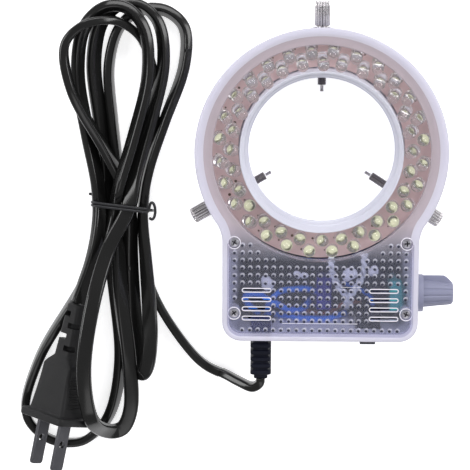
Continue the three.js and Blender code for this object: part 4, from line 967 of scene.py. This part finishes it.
for way, (name, reach) in zip(SCREW_WAYS, HEAD_REACHES.items()):
    screw = part_from_grids(f"thumb_screw_{name}_fluted", [thumb_screw_grid(way, reach)], nickel_plate,
                            body=f"screw_{name}", sharp_degrees=50)
    give_second_material(screw, thread_painted_shade, on_shaded_shank)
    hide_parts(f"thumb_screw_{name}")
    dog_tip = [(0, 0), (0.65, 0), (0.85, 0.2), (0.85, 0.7), (0.72, 0.8), (0.72, 2.55), (0, 2.6)]
    dog_tip = [(radius, reach - HEAD_TO_TIP + distance) for radius, distance in dog_tip]
    tip = part_from_grids(f"screw_tip_{name}_dog", [rod_grid((0, 0, SCREW_Z), way, dog_tip, 24)],
                          nickel_plate, body=f"tip_{name}")
    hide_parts(f"screw_tip_{name}")

# %% [markdown]
# The dimmer's knob is moulded in satin grey-blue plastic: a round skirt, then a grip with twelve hollow
# flutes that narrows to its end, and one fin that points where it is set. Its section is a circle less
# the flutes, and near the fin's turn it reaches out to the fin's height. The fin's far end is cut slanted.

# %% Knob
satin_knob = moulded("satin_grey_abs", ("#9496ae", "#898ba3"), 0.42, grain_mm=0.35, bump=0.1,
                     Specular_IOR_Level=0.35)
KNOB_FLUTES, FIN_REACH, FIN_HALF_WIDTH, SLANT_FROM, SLANT_LENGTH = 12, 7.6, 0.9, 52.2, 3.8
knob_rows = [
    (0, 43.0), (3.3, 43.0), (3.3, 40.4), (6.5, 40.4), (6.5, 40.2), (7.6, 40.2), (7.9, 40.5), (7.9, 43.2),
    (7.7, 43.55), (7.3, 43.6), (6.1, 43.62), (5.95, 43.8), (5.85, 45), (5.3, 50), (5.1, 52.4), (4.97, 53.6),
    (4.85, 54.8), (4.7, 55.3), (4.35, 55.9), (3.7, 56.25), (2.6, 56.3), (0, 56.3),
]


def knob_grid():
    """Radius over the turn and the distance along the knob, with the fin towards the ring."""
    turn = full_turn(240)
    base, place = (np.array(v)[:, None] for v in zip(*knob_rows))
    grip = (place > 43.61) & (place < 56.0)
    in_flute = 1 - np.abs((turn * KNOB_FLUTES / (2 * pi) + 0.5) % 1 - 0.5) / 0.2
    flute = np.clip(in_flute, 0, 1) ** 0.6 * 0.36
    away = np.abs((turn - pi / 2 + pi) % (2 * pi) - pi)
    radius = base - np.where(grip, flute[None] * np.clip(away / 0.3, 0, 1), 0)
    fin_side = FIN_HALF_WIDTH / np.maximum(np.sin(np.maximum(away, 0.01)), 0.01)
    fin = np.minimum(FIN_REACH, fin_side)[None] * np.where(away < 1.2, 1, 0)
    slant = 1 - 0.42 * np.clip((place - SLANT_FROM) / SLANT_LENGTH, 0, 1) ** 1.4
    radius = np.where(grip, np.maximum(radius, fin * slant), radius)
    return np.stack([np.broadcast_to(place, radius.shape), KNOB_Y + radius * np.sin(turn),
                     CONTROL_Z - radius * np.cos(turn)], axis=-1)


knob = part_from_grids("dimmer_knob_grip", [knob_grid()], satin_knob, body="dimmer",
                       sharp_degrees=32)
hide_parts("dimmer_knob")

# %% [markdown]
# The cord leaves the box through a ribbed rubber gland. Its section is a square with soft corners, and a
# profile along it gives the inner flange, the waist in the wall, seven ribs and the stub. A key on top of
# it fills the slot in the wall up to the cover, and shows through it as a dark blue patch.

# %% Gland
navy_rubber = moulded("moulded_navy_rubber", ("#131626", "#0e101e"), 0.5, grain_mm=0.4, bump=0.12,
                      Specular_IOR_Level=0.2)
gland_profile = [
    (0, -72.4), (5.2, -72.4), (5.5, -72.7), (5.5, -73.7), (5.2, -73.9), (3.3, -73.95), (3.3, -78.4),
]
RIBS, RIB_PITCH = 7, 2.95
for rib in range(RIBS):
    y = -78.6 - RIB_PITCH * rib
    gland_profile += [(3.4, y), (4.15, y - 0.05), (4.4, y - 0.3), (4.4, y - 1.6), (4.15, y - 1.85),
                      (3.4, y - 1.9)]
    gland_profile += [(3.3, y - 2.1), (3.3, y - 2.8)] if rib < RIBS - 1 else []
gland_profile += [(2.9, -98.4), (2.9, -99.9), (2.6, -100.2), (0, -100.2)]
gland_loops = rectangle_loops([(max(half, 0.001), max(half, 0.001), half * 0.35, y)
                               for half, y in gland_profile])
gland = part_from_grids("cord_gland_ribbed", [gland_loops[..., [0, 2, 1]] + [GLAND_X, 0, GLAND_Z]],
                        navy_rubber, sharp_degrees=50)
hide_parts("cord_gland")
gland_key = moulded("moulded_navy_key", ("#1c2364", "#171d54"), 0.5)
key_blocks = [block_grid((GLAND_X - 4.2, -77.1, 14), (GLAND_X + 4.2, -72.5, 26.7), 0.6),
              block_grid((GLAND_X - 4.2, -79.1, 24.8), (GLAND_X + 4.2, -74, 25.74), 0.3)]
part_from_grids("cord_gland_key", key_blocks, gland_key)

# %% [markdown]
# The switch has a rounded bezel round a well, and a rocker that tips in it about a line across the
# middle. From above only the rocker's raised end shows past the edge of the box.

# %% Rocker switch
switch_black = moulded("glossy_black_nylon", ("#1e2030", "#181a28"), 0.25, grain_mm=0.5, bump=0.05)
bezel_steps = [
    (0.001, 0.001, 0.0005, -77.4), (3.6, 6.6, 0.4, -77.4), (3.65, 6.7, 0.5, -80.3), (3.9, 6.95, 0.7, -80.6),
    (5.7, 8.1, 1.4, -80.6), (6.1, 8.5, 1.6, -80.4), (6.2, 8.6, 1.6, -80.1), (6.2, 8.6, 1.6, -79.4),
    (5.2, 7.6, 0.6, -79.3), (5.2, 7.6, 0.6, -69.8), (4.9, 7.3, 0.6, -69.5), (0.001, 0.001, 0.0005, -69.5),
]
bezel_grid = rectangle_loops(bezel_steps)[..., [0, 2, 1]] + [SWITCH_X, 0, CONTROL_Z]
switch_body = part_from_grids("switch_bezel_and_case", [bezel_grid], switch_black)
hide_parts("switch_body")


ROCKER_HALF, ROCKER_Y, ROCKER_TILT = 5.8, -79.8, radians(14)


def rocker_grid():
    """The rocker's section across X: two raised ends with a hollow between them, and a rounded foot."""
    along = np.linspace(-ROCKER_HALF, ROCKER_HALF, 29)
    share = along / ROCKER_HALF
    front = np.stack([-2.6 + 0.6 * (1 - share**2), along], axis=1)
    back = np.stack([1.6 * np.sqrt(np.clip(1 - share**4, 0, 1)), along], axis=1)[::-1]
    section = np.concatenate([front, back[1:-1]])
    middle = section.mean(axis=0)
    loops = []
    for x, size in [(-3.35, 0), (-3.35, 0.93), (-3.1, 1), (0, 1), (3.1, 1), (3.35, 0.93), (3.35, 0)]:
        y, z = ((section - middle) * size + middle).T
        loops.append(np.column_stack([
            np.full(len(y), SWITCH_X + x),
            ROCKER_Y + y * cos(ROCKER_TILT) - z * sin(ROCKER_TILT),
            CONTROL_Z + y * sin(ROCKER_TILT) + z * cos(ROCKER_TILT),
        ]))
    return np.stack(loops)


rocker = part_from_grids("switch_rocker_dished", [rocker_grid()], switch_black,
                         body="rocker")
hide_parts("switch_rocker")

# %% [markdown]
# The mains cord is flat: two conductors side by side under one sheath, 6.3 mm wide and 3.7 mm thick,
# with nearly flat faces and soft edges. It leaves the gland, runs up to the hank, goes round seven lobes
# and ends in its plug. A lobe is drawn with sines: out goes from one foot to the other, reach is how far
# along it is, and powers of reach shape its legs and its bend. Its layers say what it lies on.

# %% Cord route
CORD_R, LAYER, CLEAR_BELOW, WAIST_Y, TIE_LIFT, BUNCHING, LOBE_STEPS = 2.1, 4.8, 0.1, -28.0, 1.6, 0.03, 12
LOBES = [
    ([-74.9, -80.7], [-90, 53], [16, 27.5], 1.27, 2.89, [2.06, 1.8],
     [0, 0, 0, 0, 0.3, 1.6, 2.4, 3, 3, 3, 1.7, 1, 1]),
    ([-80.7, -75.1], [-76.2, -100.6], [-0.9, -4.1], 0.68, 1.23, [1.02, 1.02],
     [1, 0.1, 0, 0, 0, 0.25, 0.9, 1.55, 1.85, 1.75, 1.4, 1.15, 1]),
    ([-75.1, -85.8], [-71.2, 56.3], [19.8, 17.0], 0.96, 1.1, [1.77, 1.55],
     [1, 1, 1, 0.4, 0, 0, 0, 0, 0, 0, 0, 0, 0]),
    ([-85.8, -81.2], [-87, -126.6], [9.4, 13.2], 1.1, 1.42, [2.8, 0.76],
     [0, 0.9, 1.2, 1, 1, 1, 1, 2, 4.4, 5, 4.4, 2.4, 2]),
    ([-81.2, -90.8], [-80.6, 59.1], [16.8, 15.2], 0.99, 0.66, [1.39, 1.39],
     [2, 1.8, 1.3, 1, 1, 1, 1, 1, 1, 0.6, 0.2, 0, 0]),
    ([-90.8, -87.3], [-106, -133.1], [19, 33], 1.25, 1.44, [1.74, 2.22],
     [0, 0, 0, 0, 0, 0, 0, 0, 0, 0, 0, 1.1, 1]),
    ([-87.3, -93.4], [-86.2, 58.8], [16.9, 17.2], 1.18, 0.92, [1.54, 1.54],
     [1, 2.4, 2.2, 2, 2, 2, 2, 2, 1.9, 1.3, 1, 1, 1]),
]
LEAD_STOPS = [
    (-24.8, -100.6, 13), (-24.8, -102.2, 13), (-28, -105, 11.2), (-34.2, -103.6, 7.4), (-40.2, -101.3, 4),
    (-46.9, -98.7, 2.4), (-51.6, -95.2, 2.3), (-56, -90.3, 2.3), (-60.5, -84.3, 2.3), (-65, -77.5, 2.3),
    (-68.8, -70.8, 2.3), (-71.9, -63.6, 2.3), (-74.7, -52.3, 2.3), (-75.5, -40.9, 2.7), (-75.3, -33.5, 3.5),
]
TAIL_STOPS = [
    (-93.5, -33, 9.8), (-94.4, -41, 11.2), (-96.8, -51.7, 11.2), (-99.6, -60, 10.2), (-101.6, -66, 9.6),
    (-102.64, -68.9, 9.62),
]


def lobe_stops(lobe):
    """The thirteen points of a lobe: its feet on the waist, its far point, and its swelling legs."""
    feet, far, swell, rise, lean, blunt, layers = lobe
    step = np.arange(LOBE_STEPS + 1)
    share = step / LOBE_STEPS - BUNCHING * np.sin(4 * pi * step / LOBE_STEPS)
    out, reach = np.cos(pi * share), np.clip(np.sin(pi * share), 0, 1)
    foot = feet[0] + (feet[1] - feet[0]) * (1 - out) / 2
    leg = np.where(out > 0, 0, 1)
    bow = 2 * np.array(swell)[leg] * out * reach ** np.array(blunt)[leg]
    x = foot + (far[0] - foot) * reach**lean + bow
    y = WAIST_Y + (far[1] - WAIST_Y) * reach**rise
    z = CLEAR_BELOW + CORD_R + np.array(layers) * LAYER + TIE_LIFT * (1 - reach) ** 2
    return np.column_stack([x, y, z])


lobe_points = [lobe_stops(lobe) for lobe in LOBES]
hank_stops = np.concatenate([lobe_points[0], *[points[1:] for points in lobe_points[1:]]])
cord_stops = np.concatenate([LEAD_STOPS, hank_stops, TAIL_STOPS])
CORD_COUNT, CORD_PASSES = 2600, 24


def smoothed(line, passes):
    """The line with each inner point moved half way to its neighbours' middle, once a pass."""
    for _ in range(passes):
        line[1:-1] = (line[:-2] + 2 * line[1:-1] + line[2:]) / 4
    return line


cord_line = smoothed(smooth_route(cord_stops, CORD_COUNT), CORD_PASSES)
print("cord length, mm:", round(float(distances_along(cord_line)[-1]), 1))

# %% [markdown]
# A flat cord rolls as it goes: it lies flat in one stretch and stands on edge in the next. The roll is
# given at the lobes' feet and far points in degrees, where 0 is flat, and runs smoothly in between.

# %% Cord surface
soft_vinyl = moulded("glossy_black_vinyl", ("#161616", "#1c1c1c"), 0.17, grain_mm=0.6, bump=0.03,
                     Specular_IOR_Level=0.45)
CORD_HALF_WIDTH, CORD_HALF_THICK, CORD_EDGE = 3.15, 1.85, 1.15
ROLLS = [
    (0, 88), (4, 86), (10, 84), (15, 80), (19, 80), (21, 85), (24, 86), (27, 60), (30, 20), (33, 5),
    (36, 12), (39, 80), (45, 55), (47, 75), (51, 82), (54, 12), (57, 0), (60, 4), (63, 10), (65, 55),
    (69, 70), (71, 40), (75, 30), (78, 60), (81, 85), (84, 80), (87, 65), (93, 60), (99, 50), (102, 35),
    (105, 10),
]
LYING_BELOW, LIFT_ON_OTHERS, ROLL_BLUR = 3.4, 0.35, 20


def cord_grid(line):
    """The section carried along the line. Its width lies level, square to the line, and is then rolled,
    and the line is lifted where the cord stands on edge. The middles of the sections come with it."""
    _, level, up = axes_along(line)
    chord = distances_along(cord_stops, 0.5)
    at = np.linspace(0, len(cord_stops) - 1, 6 * len(cord_stops))
    stops, degrees = zip(*ROLLS)
    rolls = np.interp(np.linspace(0, chord[-1], len(line)), np.interp(at, range(len(chord)), chord),
                      np.interp(at, stops, degrees))
    window = np.ones(2 * ROLL_BLUR + 1) / (2 * ROLL_BLUR + 1)
    roll = np.convolve(np.pad(np.radians(rolls), ROLL_BLUR, mode="edge"), window, mode="valid")
    lift = (CORD_HALF_WIDTH - CORD_HALF_THICK) * np.sin(roll)
    lift *= np.where(line[:, 2] < LYING_BELOW, 1, LIFT_ON_OTHERS)
    line = line + np.column_stack([0 * lift, 0 * lift, lift])
    u, v = rounded_rectangle(CORD_HALF_WIDTH, CORD_HALF_THICK, CORD_EDGE, 5).T
    wide = (np.cos(roll)[:, None] * level + np.sin(roll)[:, None] * up)[:, None]
    thick = (np.cos(roll)[:, None] * up - np.sin(roll)[:, None] * level)[:, None]
    rings = line[:, None] + u[None, :, None] * wide + v[None, :, None] * thick
    ends = [np.repeat(rings[k].mean(axis=0)[None], len(u), axis=0)[None] for k in (0, -1)]
    return np.concatenate([ends[0], rings, ends[1]]), rings.mean(axis=1)


cord_surface, cord_middle = cord_grid(cord_line)
mains_cord = part_from_grids("mains_cord", [cord_surface], soft_vinyl, sharp_degrees=75)
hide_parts("cord_lead", "cord_hank", "cord_tail")

# %% [markdown]
# The twist tie is a thin sleeved wire. It comes from a loose end at the left, goes one and a third times
# round the waist on a flattened coil that leans, and ends in a small curl at the right.

# %% Twist tie
TIE_R, TIE_HALF_X, TIE_HALF_Z, TIE_X, TIE_FIRST_Y = 0.6, 12.8, 8.0, -83.6, -25.1
TIE_PITCH, TIE_TURNS, TIE_BLUNTNESS, TIE_SLOPE, TIE_TILT = 1.3, 1.36, 0.26, 0.11, 0.215
CURL_TURNS, CURL_HALF_X, CURL_HALF_Y, CURL_RISE = 0.85, 1.45, 3.8, 2.4


def tie_line():
    """The tie's line: the loose end, the coil of a blunt ellipse, and the curl, which climbs and closes."""
    share = np.linspace(0, 1, 61)
    a = pi - share * TIE_TURNS * 2 * pi
    c, s = (np.sign(v) * np.abs(v) ** TIE_BLUNTNESS for v in (np.cos(a), np.sin(a)))
    coil = np.column_stack([TIE_X + TIE_HALF_X * c,
                            TIE_FIRST_Y - TIE_PITCH * TIE_TURNS * share - TIE_SLOPE * TIE_HALF_X * c
                            - TIE_TILT * TIE_HALF_Z * (1 - s),
                            CLEAR_BELOW + TIE_R + TIE_HALF_Z * (1 + s)])
    curl_share = np.linspace(0, 1, 17)[1:]
    b = curl_share * CURL_TURNS * 2 * pi
    curl = coil[-1] + np.column_stack([
        CURL_HALF_X * (1 - np.cos(b)), 1.2 * np.minimum(1, curl_share / 0.2) + CURL_HALF_Y * np.sin(b),
        CURL_RISE * np.minimum(1, curl_share / 0.33)])
    start = np.array([(-98, -23.3, 2.2), (-96.1, -23.1, 1.6), (-94.4, -24.5, 0.8), (-94.6, -26.2, 0.8),
                      (-96, -26.4, 2.4), (-96.5, -26.2, 5.5)])
    return np.concatenate([start, coil, curl])


tie_path = tie_line()
apart = np.linalg.norm(np.diff(tie_path, axis=0), axis=1) > 0.05
tie_path = smoothed(tie_path[np.concatenate([[True], apart])], 2)
sleeve_vinyl = moulded("satin_black_tie_sleeve", ("#1b1b1e", "#242428"), 0.38, grain_mm=0.5)
twist_tie = part_from_grids("twist_tie_sleeve", [tube_grid(tie_path, TIE_R, 14)], sleeve_vinyl,
                            sharp_degrees=70)
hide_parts("twist_tie")

# %% [markdown]
# The plug is moulded onto the cord: a ribbed relief with notches from side to side, a body that widens,
# and a broad grip flange before the two flat blades. It lies rolled about its own line, so both a wide
# and a narrow side show. Its sections are rounded rectangles whose half sizes follow its length.

# %% Plug
PLUG_START, PLUG_FACE = np.array([-102.8, -69.6, 9.7]), np.array([-112.6, -119.3, 16.4])
PLUG_ROLL = radians(43)
plug_along = unit(PLUG_FACE - PLUG_START)
plug_level = unit(np.cross([0, 0, 1], plug_along))
plug_up = np.cross(plug_along, plug_level)
PLUG_WIDE = plug_level * cos(PLUG_ROLL) + plug_up * sin(PLUG_ROLL)
PLUG_THICK = np.cross(plug_along, PLUG_WIDE)
PLUG_LENGTH = float(np.linalg.norm(PLUG_FACE - PLUG_START))
FLANGE_START = PLUG_LENGTH - 3.3
RELIEF_LENGTH = FLANGE_START - 25.0
WIDENED = RELIEF_LENGTH + 5.4


def along_plug(points):
    """Points in the plug's own width, thickness and length, set on its line."""
    return (PLUG_START + points[..., :1] * PLUG_WIDE + points[..., 1:2] * PLUG_THICK
            + points[..., 2:] * plug_along)


def plug_steps():
    """Half width, half thickness, corner and place of each loop, from the cord's end to the flange's face."""
    relief = [(3.5 + 1.1 * t, 3.3 + 0.9 * t, 1.6, 0.6 + t * (RELIEF_LENGTH - 0.6))
              for t in np.linspace(0.02, 1, 30)]
    shoulder = [(4.6 + 3.9 * sin(pi / 2 * t) ** 1.2, 4.2 + 1.7 * sin(pi / 2 * t) ** 1.2, 1.7,
                 RELIEF_LENGTH + 5.4 * t) for t in np.linspace(0.1, 1, 10)]
    grip = [(8.5 + 1.8 * t**1.5, 5.9 + 1.1 * t**1.2, 1.8, WIDENED + t * (FLANGE_START - 0.8 - WIDENED))
            for t in np.linspace(0.08, 1, 16)]
    flange = [(10.8, 7.6, 1.9, FLANGE_START - 0.2), (12.2, 8.7, 2.0, FLANGE_START),
              (12.8, 9.3, 2.1, FLANGE_START + 0.25), (13, 9.5, 2.2, FLANGE_START + 0.7),
              (13, 9.5, 2.2, PLUG_LENGTH - 0.7), (12.8, 9.3, 2.1, PLUG_LENGTH - 0.2),
              (12.4, 8.9, 2.0, PLUG_LENGTH), (0.002, 0.002, 0.001, PLUG_LENGTH)]
    return [(0.002, 0.002, 0.001, 0), (2.9, 2.6, 1.5, 0), (3.4, 3.2, 1.6, 0.5),
            *relief, *shoulder, *grip, *flange]


plug_vinyl = moulded("fine_grained_black_vinyl", ("#1f1f20", "#282829"), 0.5, grain_mm=0.45, bump=0.25,
                     Specular_IOR_Level=0.2)
plug_body = part_from_grids("plug_body_moulding", [along_plug(rectangle_loops(plug_steps()))], plug_vinyl)


def level_along_plug(points):
    """Points across the plug, upwards and along it, without its roll: the relief's notches lie level."""
    return (PLUG_START + points[..., :1] * plug_level + points[..., 1:2] * plug_up
            + points[..., 2:] * plug_along)


notches = []
for k in range(4):
    low, high = 3.4 + 4.9 * k, 5.8 + 4.9 * k
    if k % 2:
        notches += [((-2.4, 1.6, low), (2.8, 14, high)), ((-0.9, -14, low), (0.9, 1.7, high))]
    else:
        notches += [((-14, -14, low), (-2.2, 14, high))]
cut_out(plug_body, [level_along_plug(block_grid(*corners, 0.3)) for corners in notches])
ridges = []
for k in range(12):
    place = RELIEF_LENGTH + 8.2 + 1.15 * k
    wide = 8.5 + 1.8 * ((place - WIDENED) / 19) ** 1.5
    for side in (-1, 1):
        low, high = (side * wide - 0.4, -4.2, place - 0.3), (side * wide + 0.35, 4.2, place + 0.3)
        ridges.append(along_plug(block_grid(low, high, 0.25)))
part_from_grids("plug_grip_ridges", ridges, plug_vinyl)
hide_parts("plug_body")

BLADE_LENGTH, BLADE_HALF_WIDTH, BLADE_X = 20.6, 3.15, 6.35


def blade_grid(side):
    """A blade: its outline is a strip with a rounded tip, and its loops go from face to face."""
    tip, low = PLUG_LENGTH + BLADE_LENGTH, PLUG_LENGTH - 2
    half, corner = BLADE_HALF_WIDTH, 1.2
    quarter = np.linspace(0, pi / 2, 5)
    right = [half - corner, tip - corner] + corner * np.stack([np.cos(quarter), np.sin(quarter)], axis=1)
    edge = np.concatenate([[[-half, low], [half, low]], right, right[::-1] * [-1, 1]])
    middle = np.array([0, (low + tip) / 2])
    steps = [(-0.75, 0), (-0.75, 0.985), (-0.6, 1), (0.6, 1), (0.75, 0.985), (0.75, 0)]
    loops = [at_height((edge - middle) * size + middle, side * BLADE_X + t) for t, size in steps]
    return along_plug(np.stack(loops)[..., [2, 0, 1]])


dull_nickel = moulded("dull_nickel_plate", ("#5a5a5e", "#48484c"), 0.42, grain_mm=0.5, bump=0.3, Metallic=1.0)
for k, side in enumerate((-1, 1)):
    blade = part_from_grids(f"plug_blade_{k + 1}_plated", [blade_grid(side)], dull_nickel)
    hole_start = along_plug(np.array([side * BLADE_X, 0, PLUG_LENGTH + 9.0])) - 3 * PLUG_WIDE
    cut_out(blade, [rod_grid(hole_start, PLUG_WIDE, [(0, 0), (1.6, 0), (1.6, 6), (0, 6)])])
    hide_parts(f"plug_blade_{k + 1}")

# %% [markdown]

# %% [markdown]
# Some solids of the frame show as they are: the brass inserts, the dimmer's works and the parts on the
# driver board. Each gets the finish of its real material, and the driver board's laminate is darkened with
# painted shade.

# %% Finishes of the frame's own parts
turned_brass = moulded("turned_brass", ("#c2a259", "#b5934a"), 0.3, grain_mm=0.3, bump=0.08, Metallic=1.0)
teal_case = moulded("teal_potentiometer_case", ("#46b0b4", "#3aa0a8"), 0.4)
# Painted shade: the driver board's laminate is darkened for the shade inside the box under the vents.
laminate_with_painted_shade = moulded("driver_laminate_painted_shade", ("#3a3e46", "#2e323c"), 0.6)
indigo_epoxy = moulded("dipped_indigo_epoxy", ("#3636a0", "#2c2c8c"), 0.3)
black_sleeve = moulded("black_part_sleeve", ("#202028", "#2a2a34"), 0.45)
frame_finishes = {
    "screw_insert_top": turned_brass, "screw_insert_left": turned_brass, "screw_insert_right": turned_brass,
    "potentiometer": teal_case, "dimmer_shaft": nickel_plate, "dimmer_nut": nickel_plate,
    "driver_board": laminate_with_painted_shade, "film_capacitor": indigo_epoxy, "driver_chip": black_sleeve,
    "electrolytic_capacitor": black_sleeve,
}
for name, finish in frame_finishes.items():
    for material_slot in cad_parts[name].material_slots:
        material_slot.material = finish
print("frame parts with a finish:", len(frame_finishes))

# %% [markdown]
# The lesson ends by writing down how large the dressed light is beside its solids.

# %% Sizes
dressed_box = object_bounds()
grown = [[round((a - b) / MM, 2) for a, b in zip(p, q)] for p, q in zip(dressed_box, solid_box)]
print("grown by, mm:", grown)
